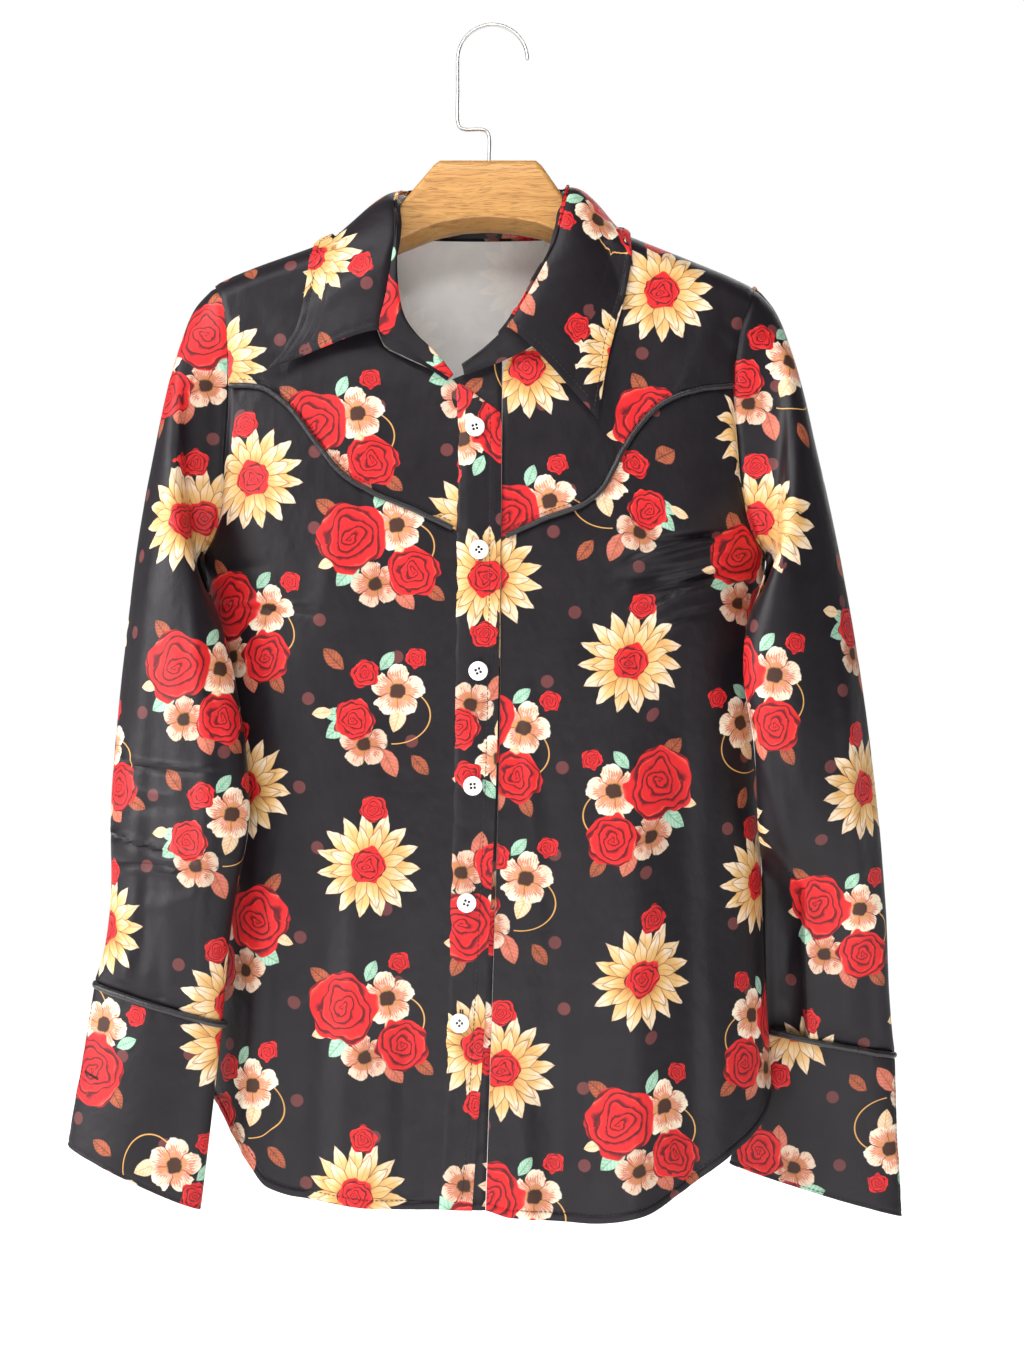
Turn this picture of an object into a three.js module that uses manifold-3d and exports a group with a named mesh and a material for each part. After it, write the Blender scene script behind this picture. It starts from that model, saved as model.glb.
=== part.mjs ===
// A long-sleeved button-up shirt with western yokes, hanging on a wooden hanger with a wire hook.
// Millimetres. The origin is the inside top of the hook. +X is to the right seen from the front,
// +Z is up, and the front faces -Y. "Right" and "left" in names are the wearer's.
import * as THREE from 'three';
import { mergeVertices } from 'three/addons/utils/BufferGeometryUtils.js';
import Module from 'manifold-3d';

const wasm = await Module();
wasm.setup();

// Driving dimensions.
const clothWall = 1.2; // shell fabric
const bandWall = 1.5; // collar and cuffs, two layers and interfacing
const seamGap = 0.3; // between pieces that are sewn to each other
const layStep = 1.6; // how far a piece that lies on another stands in front of it
const placketLap = 8; // how far the front panel runs under the outer placket
const ridgeRound = 18; // height in which the cloth turns over the hanger's arm
const sideFlatness = 4; // power of the body's lens-shaped section
const pipingRadius = 1.5;
const cuffPipingRadius = 1.7;
const armholeGap = 1.2; // between a sleeve and the panels at the armhole
const pipingSeat = 0.5; // between a cord and the seam that it lies on
const buttonDiameter = 12.5;
const buttonThickness = 2.2;
const hangerSeat = clothWall + 0.7; // from the shoulder line down to the hanger's arms
const settleSteps = 40; // rounds in which a point settles between curved edges
const armReach = { right: -183, left: 173 }; // tips of the hanger's arms
const collarAxis = new THREE.Vector3(-5, 0, 0); // the neck's upright axis

// The body's section at each height: where its two side folds lie, how far back they sit, and how
// far the front and the back stand out from them.
const bodyRows = [
  { z: -95, foldRight: -226, foldLeft: 216, side: 0, front: 32, back: 33 },
  { z: -175, foldRight: -222, foldLeft: 212, side: 0, front: 34, back: 33 },
  { z: -240, foldRight: -212, foldLeft: 200, side: 2, front: 42, back: 33 },
  { z: -300, foldRight: -203, foldLeft: 191, side: 6, front: 50, back: 32 },
  { z: -358, foldRight: -196, foldLeft: 185, side: 10, front: 56, back: 30 },
  { z: -480, foldRight: -191, foldLeft: 182, side: 12, front: 58, back: 29 },
  { z: -600, foldRight: -190, foldLeft: 183, side: 12, front: 60, back: 28 },
  { z: -690, foldRight: -192, foldLeft: 188, side: 12, front: 61, back: 28 },
  { z: -810, foldRight: -196, foldLeft: 195, side: 12, front: 62, back: 28 },
];

// The shoulder line, where the cloth turns over the hanger.
const ridgeRows = [
  { x: -215, z: -198 }, { x: -187, z: -175.5 }, { x: -160, z: -164 }, { x: -123, z: -151 },
  { x: -70, z: -131 }, { x: -5, z: -112 }, { x: 57, z: -130 }, { x: 112, z: -151 },
  { x: 145, z: -164 }, { x: 162, z: -171 }, { x: 177, z: -178.5 }, { x: 205, z: -200 },
];

// The armhole seams, from the shoulder to the underarm.
const armholeRows = [
  { z: -175.5, right: -187, left: 177 }, { z: -190, right: -180, left: 171.5 },
  { z: -212, right: -176, left: 163.5 }, { z: -242, right: -175, left: 160 },
  { z: -299, right: -178, left: 164 }, { z: -326, right: -181, left: 168.5 },
  { z: -346, right: -187, left: 176 }, { z: -358, right: -196, left: 185 },
];

// The neckline, from the side of the neck to the centre front, and the edge that each front then
// keeps down to the hem: under the outer placket on the right, at the inner placket on the left.
const neckRows = [
  { z: -131, right: -70, left: 57 }, { z: -148, right: -77, left: 63 },
  { z: -175, right: -80, left: 62 }, { z: -200, right: -78, left: 52 },
  { z: -222, right: -71, left: 30 }, { z: -232, right: -50, left: 16 },
  { z: -244, right: -24, left: 7 }, { z: -252, right: -16, left: 6.8 },
  { z: -454, right: -16, left: 5.3 }, { z: -649, right: -21, left: 0.3 },
  { z: -800, right: -27, left: -4.5 },
];

// The plackets: the outer one runs from its seam to its free edge, the inner one ends at the seam
// with the left front.
const placketRows = [
  { z: -244, seam: -24, edge: 0, inner: 6.5 }, { z: -276, seam: -23, edge: 6, inner: 6.3 },
  { z: -454, seam: -24, edge: 4, inner: 5 }, { z: -649, seam: -29, edge: -4, inner: 0 },
  { z: -800, seam: -35, edge: -14, inner: -4.8 },
];

// The yoke seams, from the armhole to the placket, with the western scoop between.
const yokeRows = {
  right: [
    { x: -180, z: -246 }, { x: -154, z: -248 }, { x: -135, z: -260 }, { x: -114, z: -287 },
    { x: -97, z: -307 }, { x: -79, z: -318 }, { x: -51, z: -330 }, { x: -14, z: -348 },
  ],
  left: [
    { x: 5, z: -349 }, { x: 34, z: -336 }, { x: 60, z: -326 }, { x: 72, z: -316 },
    { x: 86, z: -290 }, { x: 97, z: -274 }, { x: 111, z: -260 }, { x: 132, z: -251 },
    { x: 164, z: -246 },
  ],
};

// The shirt-tail hem of the fronts; the back's lies a little higher.
const hemRows = [
  { x: -198, z: -712 }, { x: -182, z: -726 }, { x: -163, z: -755 }, { x: -147, z: -774 },
  { x: -126, z: -780 }, { x: -68, z: -785 }, { x: -6, z: -786 }, { x: 12, z: -791 },
  { x: 64, z: -795 }, { x: 98, z: -790 }, { x: 120, z: -779 }, { x: 156, z: -755 },
  { x: 179, z: -737 }, { x: 197, z: -700 },
];
const backHemRise = 5;

// The back's top edge: shoulder seams and neckline.
const backNeckRows = [
  { x: -70, z: -131 }, { x: -68.5, z: -134.6 }, { x: -64, z: -136 }, { x: -35, z: -138 },
  { x: -5, z: -138.5 }, { x: 25, z: -138 }, { x: 51, z: -135.5 }, { x: 55.5, z: -133.6 },
  { x: 57, z: -130 },
];

// The body's largest folds. Each runs from its top to its foot, grows over `grow` of its length,
// and stands out by `rise` (a trough where negative) over about `width` to each side.
const frontFolds = [
  { topX: -150, topZ: -420, footX: -160, footZ: -790, width: 15, rise: 5, grow: 0.5 },
  { topX: -112, topZ: -470, footX: -122, footZ: -800, width: 17, rise: -5, grow: 0.6 },
  { topX: -72, topZ: -400, footX: -82, footZ: -800, width: 18, rise: 4, grow: 0.7 },
  { topX: 46, topZ: -520, footX: 44, footZ: -810, width: 17, rise: -4, grow: 0.6 },
  { topX: 84, topZ: -400, footX: 92, footZ: -810, width: 18, rise: 5, grow: 0.6 },
  { topX: 128, topZ: -380, footX: 134, footZ: -790, width: 15, rise: -6, grow: 0.5 },
  { topX: 170, topZ: -330, footX: 92, footZ: -385, width: 11, rise: -4, grow: 0.2 },
];
const backFolds = [
  { topX: -130, topZ: -240, footX: -146, footZ: -780, width: 18, rise: 4, grow: 0.5 },
  { topX: -86, topZ: -300, footX: -96, footZ: -780, width: 20, rise: -5, grow: 0.5 },
  { topX: -24, topZ: -360, footX: -34, footZ: -790, width: 20, rise: 4, grow: 0.6 },
  { topX: 38, topZ: -330, footX: 34, footZ: -790, width: 20, rise: -4, grow: 0.6 },
  { topX: 92, topZ: -260, footX: 104, footZ: -780, width: 18, rise: 5, grow: 0.5 },
];

// The sleeves below the armhole: the outer and inner edge of each section, its half depth, and how
// far it thins behind, towards its inner edge, where it lies on the body (0 to 1).
const sleeveRows = {
  right: [
    { outer: [-202, 0, -192], inner: [-203, 4, -367], half: 33, thin: 0.2 },
    { outer: [-213, -4, -228], inner: [-201, -12, -380], half: 35, thin: 0.6 },
    { outer: [-225, -10, -284], inner: [-189, -30, -390], half: 35, thin: 1 },
    { outer: [-236, -14, -348], inner: [-178, -38, -404], half: 33, thin: 1 },
    { outer: [-244, -15, -414], inner: [-169, -43, -438], half: 30, thin: 1 },
    { outer: [-250, -16, -474], inner: [-161, -46, -486], half: 27, thin: 1 },
    { outer: [-254, -17, -530], inner: [-158, -47, -532], half: 26, thin: 1 },
    { outer: [-254, -20, -590], inner: [-169, -46, -594], half: 23, thin: 0.8 },
    { outer: [-258, -24, -624], inner: [-174, -46, -636], half: 18, thin: 0.5 },
    { outer: [-263, -28, -640.6], inner: [-176, -46, -664.6], half: 12, thin: 0.2 },
  ],
  left: [
    { outer: [190, 0, -193], inner: [192, 4, -367], half: 33, thin: 0.2 },
    { outer: [202, -4, -228], inner: [190, -12, -380], half: 35, thin: 0.6 },
    { outer: [216, -10, -284], inner: [178, -30, -388], half: 35, thin: 1 },
    { outer: [230, -13, -348], inner: [168, -39, -400], half: 33, thin: 1 },
    { outer: [242, -13, -414], inner: [164, -44, -436], half: 30, thin: 1 },
    { outer: [251, -12, -472], inner: [171, -41, -484], half: 28, thin: 1 },
    { outer: [258, -9, -530], inner: [184, -28, -536], half: 26, thin: 0.8 },
    { outer: [265, -2, -592], inner: [194, 8, -594], half: 23, thin: 0.2 },
    { outer: [269, 6, -652], inner: [193, 22, -646], half: 18, thin: 0 },
    { outer: [274, 14, -695.4], inner: [191, 27, -680.4], half: 12, thin: 0 },
  ],
};

// The sleeves' largest folds, by their angle round the sleeve (0 is the outer edge, 0.25 the
// front, 0.5 the inner edge) and the part of its length that each takes.
const sleeveFolds = {
  right: [
    { turn: 0.2, width: 0.035, from: 0.45, to: 1, rise: -4 },
    { turn: 0.33, width: 0.03, from: 0.3, to: 0.9, rise: 3 },
    { turn: 0.7, width: 0.04, from: 0.3, to: 1, rise: -4 },
    { turn: 0.86, width: 0.03, from: 0.4, to: 1, rise: 3 },
  ],
  left: [
    { turn: 0.16, width: 0.03, from: 0.35, to: 0.9, rise: 3 },
    { turn: 0.34, width: 0.04, from: 0.62, to: 1.1, rise: -5 },
    { turn: 0.68, width: 0.04, from: 0.3, to: 1, rise: -4 },
    { turn: 0.84, width: 0.03, from: 0.4, to: 1, rise: 3 },
  ],
};

const elbowRow = 9; // the sleeve's two halves, above and below the elbow, meet at this row

// The cuffs, from the sleeve seam to the free edge.
const cuffRows = {
  right: [
    { outer: [-263, -28, -641.4], inner: [-176, -46, -665.4], half: 12, thin: 0.2 },
    { outer: [-272, -28, -696], inner: [-183, -46, -727], half: 13, thin: 0.2 },
    { outer: [-281, -28, -748], inner: [-190, -46, -786], half: 15, thin: 0.2 },
  ],
  left: [
    { outer: [274, 14, -696.3], inner: [191, 27, -681.3], half: 12, thin: 0 },
    { outer: [276, 14, -752], inner: [178, 36, -728], half: 12, thin: 0 },
    { outer: [279, 14, -806], inner: [164, 44, -777], half: 14, thin: 0 },
  ],
};
const cuffEndTurn = 0.008; // the cuff's two ends stop this share of a turn from its outer edge

// The collar's sections round the neck, from the right band end by the back to the left one: its
// seam on the neckline, the fold at its top and, where it has a leaf, the leaf's edge.
const collarRows = [
  { seam: [-31, -44, -247], fold: [-25, -46, -241] },
  { seam: [-44, -43, -238], fold: [-36, -47, -227] },
  { seam: [-58, -42, -231], fold: [-48, -48, -215] },
  { seam: [-71, -40, -223], fold: [-56, -48, -203], edge: [-146, -40, -238] },
  { seam: [-78, -38, -200], fold: [-60, -47, -184], edge: [-128, -39, -208] },
  { seam: [-80, -35, -172], fold: [-61, -44, -160], edge: [-122, -34, -178] },
  { seam: [-77, -31, -147], fold: [-62, -38, -139], edge: [-119, -25, -158] },
  { seam: [-74, -22, -137], fold: [-64, -27, -123], edge: [-111, -13, -149] },
  { seam: [-70, 0, -131], fold: [-62, 0, -111], edge: [-100, 0, -139.5] },
  { seam: [-68, 23, -133.5], fold: [-59, 25, -105], edge: [-90, 24, -141] },
  { seam: [-48, 32, -136.5], fold: [-45, 29, -102], edge: [-62, 40, -148] },
  { seam: [-5, 33, -138], fold: [-5, 30, -101], edge: [-5, 43, -152] },
  { seam: [36, 32, -136.5], fold: [34, 29, -102], edge: [50, 40, -148] },
  { seam: [54, 23, -133], fold: [47, 25, -105], edge: [77, 24, -139] },
  { seam: [57, 0, -130], fold: [50, 0, -108], edge: [86, 0, -138] },
  { seam: [61, -22, -137], fold: [49, -27, -116], edge: [91, -14, -148] },
  { seam: [63, -32, -149], fold: [45, -38, -134], edge: [92, -28, -160] },
  { seam: [62, -36, -175], fold: [40, -44, -154], edge: [87, -38, -190] },
  { seam: [52, -40, -200], fold: [24, -48, -184], edge: [77, -43, -226] },
  { seam: [31, -42, -221], fold: [8, -49, -211], edge: [69, -46, -271] },
  { seam: [10, -43, -233], fold: [-3, -48, -222] },
  { seam: [-18, -44, -244], fold: [-20, -47, -235] },
];
const collarFoldDrop = 3.5; // the stand stops this far under the leaf's fold
const collarSeamRise = 2.8; // and starts this far above the neckline
const leafCrown = 5; // how far the leaf swells over the stand
const shoulderFlat = 0.75; // share of the body's depth over which the shoulder counts as flat
const leafClear = 4.2; // least distance of the leaf's face in front of the body's

// The buttons' places on the outer placket.
const buttonPlaces = [
  { x: -11, z: -276 }, { x: -8.5, z: -356 }, { x: -9, z: -435 },
  { x: -12.5, z: -510 }, { x: -16.5, z: -586 }, { x: -21, z: -664 },
];

// The hanger: the section of its wooden body at each place across, and its hook's wire.
const hangerRows = [
  { x: armReach.right, deep: 8, half: 7, power: 2 },
  { x: -178, deep: 13, half: 13, power: 2 },
  { x: -150, deep: 17, half: 16, power: 2 },
  { x: -110, deep: 18, half: 17, power: 2.1 },
  { x: -84, deep: 19, half: 18, power: 2.2 },
];
const hangerCore = [
  { x: -67, top: -136, bottom: -153, half: 19, power: 4 },
  { x: -62, top: -124, bottom: -150, half: 20, power: 8 },
  { x: -39, top: -97, bottom: -141, half: 20, power: 9 },
  { x: -35, top: -94, bottom: -140, half: 20, power: 9 },
  { x: -20, top: -94, bottom: -137, half: 20, power: 9 },
  { x: -2, top: -94, bottom: -136, half: 20, power: 9 },
  { x: 16, top: -94, bottom: -137.5, half: 20, power: 9 },
  { x: 29, top: -94, bottom: -140, half: 20, power: 9 },
  { x: 33, top: -97.5, bottom: -141, half: 20, power: 9 },
  { x: 48, top: -119, bottom: -147, half: 20, power: 8 },
  { x: 54, top: -134.5, bottom: -150, half: 19, power: 4 },
];
const hook = {
  bend: 23.5, // radius of the wire's centre line over the top
  wireWide: 2.4,
  wireDeep: 4.5,
  tipDrop: 22.3,
  shankFoot: -64,
  jogHeight: -69.6,
  stemX: -2.3,
  stemFoot: -108,
  corner: 5,
};
const stemBore = { radius: 3.1, length: 40, below: 1 }; // the hole in the wood for the stem

const colours = {
  print: 0x251f24, piping: 0x17151a, button: 0xf1efec, wood: 0xd9a35a, wire: 0xb9b6ae,
};

// --- Curves and shells ---

const lerp = THREE.MathUtils.lerp;
const clamp = THREE.MathUtils.clamp;

// A smooth curve through a table's rows: column `out` as a function of column `by`, level past
// both ends and never past the rows' own values.
function smooth(rows, by, out) {
  const knots = rows.map((row) => [row[by], row[out]]).sort((p, q) => p[0] - q[0]);
  const last = knots.length - 1;
  const rise = (i) => (knots[i + 1][1] - knots[i][1]) / (knots[i + 1][0] - knots[i][0]);
  const slopes = knots.map((_, i) => {
    if (i === 0) return rise(0);
    if (i === last) return rise(last - 1);
    const before = rise(i - 1);
    const after = rise(i);
    return before * after <= 0 ? 0 : (2 * before * after) / (before + after);
  });
  return (at) => {
    const place = clamp(at, knots[0][0], knots[last][0]);
    let i = 0;
    while (i < last - 1 && place > knots[i + 1][0]) i += 1;
    const span = knots[i + 1][0] - knots[i][0];
    const t = (place - knots[i][0]) / span;
    const keep = (1 + 2 * t) * (1 - t) ** 2;
    const next = t * t * (3 - 2 * t);
    const pull = t * (1 - t) ** 2 * span * slopes[i] - t * t * (1 - t) * span * slopes[i + 1];
    return keep * knots[i][1] + next * knots[i + 1][1] + pull;
  };
}

// Turns a closed geometry's faces outwards.
function faceOut(geometry) {
  const at = geometry.attributes.position;
  const index = geometry.index.array;
  const [a, b, c] = [new THREE.Vector3(), new THREE.Vector3(), new THREE.Vector3()];
  let volume = 0;
  for (let i = 0; i < index.length; i += 3) {
    a.fromBufferAttribute(at, index[i]);
    b.fromBufferAttribute(at, index[i + 1]);
    c.fromBufferAttribute(at, index[i + 2]);
    volume += a.dot(b.cross(c));
  }
  if (volume < 0) {
    for (let i = 0; i < index.length; i += 3) {
      [index[i + 1], index[i + 2]] = [index[i + 2], index[i + 1]];
    }
  }
  geometry.computeVertexNormals();
  return geometry;
}

// The unit normal at each point of a grid of rows. `round` says that each row closes on itself.
// Where the body folds over, at a shoulder or side seam, the wall's edge stands square to it.
function gridNormals(grid, round, onSeam) {
  const rows = grid.length;
  const columns = grid[0].length;
  return grid.map((row, r) => row.map((_, c) => {
    const before = round ? (c + columns - 1) % columns : Math.max(c - 1, 0);
    const after = round ? (c + 1) % columns : Math.min(c + 1, columns - 1);
    const across = row[after].clone().sub(row[before]);
    const down = grid[Math.min(r + 1, rows - 1)][c].clone().sub(grid[Math.max(r - 1, 0)][c]);
    const normal = across.cross(down);
    if (onSeam(row[c])) normal.y = 0;
    return normal.normalize();
  }));
}

// A closed cloth wall: the grid is its outer face, and `inward` (1 or -1) says on which side of
// the grid's normals the wall lies.
function clothShell(grid, wall, inward, round = false, onSeam = () => false) {
  const rows = grid.length;
  const columns = grid[0].length;
  const normals = gridNormals(grid, round, onSeam);
  const inner = grid.map((row, r) => row.map((point, c) => (
    point.clone().addScaledVector(normals[r][c], inward * wall)
  )));
  const positions = [...grid.flat(), ...inner.flat()].flatMap((point) => point.toArray());
  const layer = rows * columns;
  const id = (side, r, c) => side * layer + r * columns + (c % columns);
  const faces = [];
  const quad = (a, b, c, d) => faces.push(a, b, c, a, c, d);
  const lastColumn = round ? columns : columns - 1;
  for (let r = 0; r < rows - 1; r += 1) {
    for (let c = 0; c < lastColumn; c += 1) {
      quad(id(0, r, c), id(0, r, c + 1), id(0, r + 1, c + 1), id(0, r + 1, c));
      quad(id(1, r, c), id(1, r + 1, c), id(1, r + 1, c + 1), id(1, r, c + 1));
    }
  }
  for (let c = 0; c < lastColumn; c += 1) {
    quad(id(0, 0, c), id(1, 0, c), id(1, 0, c + 1), id(0, 0, c + 1));
    quad(id(0, rows - 1, c), id(0, rows - 1, c + 1), id(1, rows - 1, c + 1), id(1, rows - 1, c));
  }
  if (!round) {
    for (let r = 0; r < rows - 1; r += 1) {
      quad(id(0, r, 0), id(0, r + 1, 0), id(1, r + 1, 0), id(1, r, 0));
      quad(id(0, r, columns - 1), id(1, r, columns - 1), id(1, r + 1, columns - 1),
        id(0, r + 1, columns - 1));
    }
  }
  const geometry = new THREE.BufferGeometry();
  geometry.setAttribute('position', new THREE.Float32BufferAttribute(positions, 3));
  geometry.setIndex(faces);
  return faceOut(geometry);
}

// A geometry as one closed mesh with shared points.
function joined(geometry) {
  geometry.deleteAttribute('normal');
  geometry.deleteAttribute('uv');
  return faceOut(mergeVertices(geometry, 1e-3));
}

// A cord or wire along a path, of elliptical section.
function cord(points, steps, radiusAcross, radiusAlong, sides) {
  const section = new THREE.Shape();
  section.absellipse(0, 0, radiusAcross, radiusAlong, 0, Math.PI * 2);
  const outline = new THREE.Shape(section.getSpacedPoints(sides).slice(0, sides));
  const path = new THREE.CatmullRomCurve3(points, false, 'centripetal');
  return joined(new THREE.ExtrudeGeometry(outline, { steps, extrudePath: path }));
}

// --- The body's form ---

const ridge = smooth(ridgeRows, 'x', 'z');
const foldRight = smooth(bodyRows, 'z', 'foldRight');
const foldLeft = smooth(bodyRows, 'z', 'foldLeft');
const sideY = smooth(bodyRows, 'z', 'side');
const frontDepth = smooth(bodyRows, 'z', 'front');
const backDepth = smooth(bodyRows, 'z', 'back');
const foldFade = 1.2; // part of a fold's length at which it has gone

// How full the body's section is at a place: 0 on the shoulder line and the side folds, 1 inside.
function fullness(x, z) {
  const middle = (foldRight(z) + foldLeft(z)) / 2;
  const half = (foldLeft(z) - foldRight(z)) / 2;
  const out = clamp(Math.abs(x - middle) / half, 0, 1);
  const lens = Math.sqrt(1 - out ** sideFlatness);
  const under = clamp((ridge(x) - z) / ridgeRound, 0, 1);
  return lens * Math.sqrt(1 - (1 - under) ** 2);
}

// How far a list of folds moves the cloth at a place. A fold fades out past its foot.
function foldRise(folds, x, z) {
  return folds.reduce((sum, fold) => {
    const runX = fold.footX - fold.topX;
    const runZ = fold.footZ - fold.topZ;
    const length = Math.hypot(runX, runZ);
    const along = ((x - fold.topX) * runX + (z - fold.topZ) * runZ) / length ** 2;
    const aside = ((x - fold.topX) * runZ - (z - fold.topZ) * runX) / length;
    const swell = THREE.MathUtils.smoothstep(along, 0, fold.grow)
      * (1 - THREE.MathUtils.smoothstep(along, 1, foldFade));
    return sum + fold.rise * swell * Math.exp(-((aside / fold.width) ** 2));
  }, 0);
}

function frontY(x, z) {
  const full = fullness(x, z);
  return sideY(z) - seamGap / 2 - full * (frontDepth(z) + foldRise(frontFolds, x, z));
}

function backY(x, z) {
  const full = fullness(x, z);
  return sideY(z) + seamGap / 2 + full * (backDepth(z) + foldRise(backFolds, x, z));
}

// The unit normal of the body's front at a place, pointing out.
function frontNormal(x, z) {
  const step = 0.5;
  const slopeX = (frontY(x + step, z) - frontY(x - step, z)) / (2 * step);
  const slopeZ = (frontY(x, z + step) - frontY(x, z - step)) / (2 * step);
  return new THREE.Vector3(slopeX, -1, slopeZ).normalize();
}

// Moves a point of the collar's leaf clear of the body: up where the shoulder is flat, out where
// it falls.
function clearOfBody(point) {
  const outward = point.y < 0 ? -1 : 1;
  const face = outward < 0 ? frontY : backY;
  const depth = Math.abs(face(point.x, ridge(point.x) - ridgeRound));
  const inside = clamp(Math.abs(point.y) / depth, 0, 1);
  const shoulder = ridge(point.x) - ridgeRound * (1 - Math.sqrt(1 - inside ** 2));
  const lift = shoulder + leafClear - point.z;
  const away = (face(point.x, point.z) - point.y) * outward + leafClear;
  if (lift <= 0 || away <= 0) return point;
  if (inside < shoulderFlat) point.z += lift;
  else point.y += outward * away;
  return point;
}

// --- Panels ---

// The shares across a panel at which its columns stand: crowded towards its side folds, with the
// marks of its edge's corners among them.
function columnShares(columns, turn, marks) {
  const even = Array.from({ length: columns + 1 }, (_, i) => i / columns);
  const spread = {
    none: (u) => u,
    last: (u) => Math.sin((u * Math.PI) / 2),
    both: (u) => (1 - Math.cos(u * Math.PI)) / 2,
  }[turn];
  const markRoom = 0.016;
  const free = (share) => marks.every((mark) => Math.abs(share - mark) > markRoom);
  return [...even.map(spread).filter(free), ...marks].sort((a, b) => a - b);
}

// A panel's grid between two side edges, given by height, and a top and a bottom edge, given by
// place across. Rows crowd towards the top by `crowd`.
function panelGrid(panel) {
  const { first, last, top, bottom, face, columns, rows } = panel;
  const { crowd = 1, turn = 'none', marks = [] } = panel;
  const shares = columnShares(columns, turn, marks);
  const settle = 0.7;
  return Array.from({ length: rows + 1 }, (_, r) => {
    const down = (r / rows) ** crowd;
    return shares.map((share) => {
      let x = 0;
      let z = lerp(ridgeRows[0].z, bodyRows.at(-1).z, down);
      for (let step = 0; step < settleSteps; step += 1) {
        x = lerp(first(z), last(z), share);
        z = lerp(z, lerp(top(x), bottom(x), down), settle);
      }
      return new THREE.Vector3(x, face(x, z), z);
    });
  });
}

const neckRight = smooth(neckRows, 'z', 'right');
const neckLeft = smooth(neckRows, 'z', 'left');
const armRight = smooth(armholeRows, 'z', 'right');
const armLeft = smooth(armholeRows, 'z', 'left');
const underarm = armholeRows.at(-1).z;
const outRight = (z) => (z > underarm ? armRight(z) : foldRight(z));
const outLeft = (z) => (z > underarm ? armLeft(z) : foldLeft(z));
const yokeSeamRight = smooth(yokeRows.right, 'x', 'z');
const yokeSeamLeft = smooth(yokeRows.left, 'x', 'z');
const hem = smooth(hemRows, 'x', 'z');
const backNeck = smooth(backNeckRows, 'x', 'z');
const placketSeam = smooth(placketRows, 'z', 'seam');
const placketEdge = smooth(placketRows, 'z', 'edge');
const innerSeam = smooth(placketRows, 'z', 'inner');
const placketY = (x, z) => frontY(x, z) - layStep;
const halfGap = seamGap / 2;
const placketTop = (x) => -244 - 0.75 * (x + 24); // the band's end, cut along the neckline
const innerTop = -246;
const neckSides = { right: backNeckRows[0].x, left: backNeckRows.at(-1).x };
const backTop = (x) => (x > neckSides.right && x < neckSides.left ? backNeck(x) : ridge(x));

// The fronts' columns are as many as the yokes', so that the two meet point to point.
const frontColumns = 14;
const panels = {
  yoke_right: {
    first: neckRight, last: armRight, top: ridge, bottom: (x) => yokeSeamRight(x) + halfGap,
    face: frontY, columns: frontColumns, rows: 12, crowd: 2, turn: 'last', inward: -1,
  },
  yoke_left: {
    first: neckLeft, last: armLeft, top: ridge, bottom: (x) => yokeSeamLeft(x) + halfGap,
    face: frontY, columns: frontColumns, rows: 12, crowd: 2, turn: 'last', inward: 1,
  },
  front_right: {
    first: neckRight, last: outRight, top: (x) => yokeSeamRight(x) - halfGap, bottom: hem,
    face: frontY, columns: frontColumns, rows: 17, crowd: 1.4, turn: 'last', inward: -1,
  },
  front_left: {
    first: neckLeft, last: outLeft, top: (x) => yokeSeamLeft(x) - halfGap, bottom: hem,
    face: frontY, columns: frontColumns, rows: 17, crowd: 1.4, turn: 'last', inward: 1,
  },
  back: {
    first: outRight,
    last: outLeft,
    top: backTop,
    bottom: (x) => hem(x) + backHemRise,
    face: backY, columns: 22, rows: 20, crowd: 2, turn: 'both', inward: -1,
    marks: [0.3214, 0.3255, 0.338, 0.6538, 0.6662, 0.6703],
  },
  placket_outer: {
    first: placketSeam, last: placketEdge, top: placketTop, bottom: hem,
    face: placketY, columns: 2, rows: 20, inward: 1,
  },
  placket_inner: {
    first: (z) => placketSeam(z) + placketLap + 1, last: innerSeam,
    top: () => innerTop, bottom: hem, face: frontY, columns: 2, rows: 20, inward: 1,
  },
};

// --- Sleeves and cuffs ---

// A closed section between an outer and an inner edge; `turn` runs from 0 at the outer edge by
// the front to 1.
function sectionPoint({ outer, inner, half, thin }, turn) {
  const angle = turn * Math.PI * 2;
  const share = (1 + Math.cos(angle)) / 2;
  const point = new THREE.Vector3(...inner).lerp(new THREE.Vector3(...outer), share);
  const behind = Math.sin(angle) < 0;
  const lean = behind ? lerp(1, Math.sqrt(share), thin) : 1;
  point.y -= half * Math.sin(angle) * lean;
  return point;
}

// The armhole seam as a section: down its front to the underarm and up its back.
function armholePoint(side, turn) {
  const arm = side === 'right' ? armRight : armLeft;
  const outward = side === 'right' ? -1 : 1;
  const start = armholeRows[0].z;
  const z = lerp(start, underarm, (1 - Math.cos(turn * Math.PI * 2)) / 2);
  const x = arm(z);
  const y = turn < 0.5 ? frontY(x, z) : backY(x, z);
  return new THREE.Vector3(x + outward * armholeGap, y, z);
}

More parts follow.
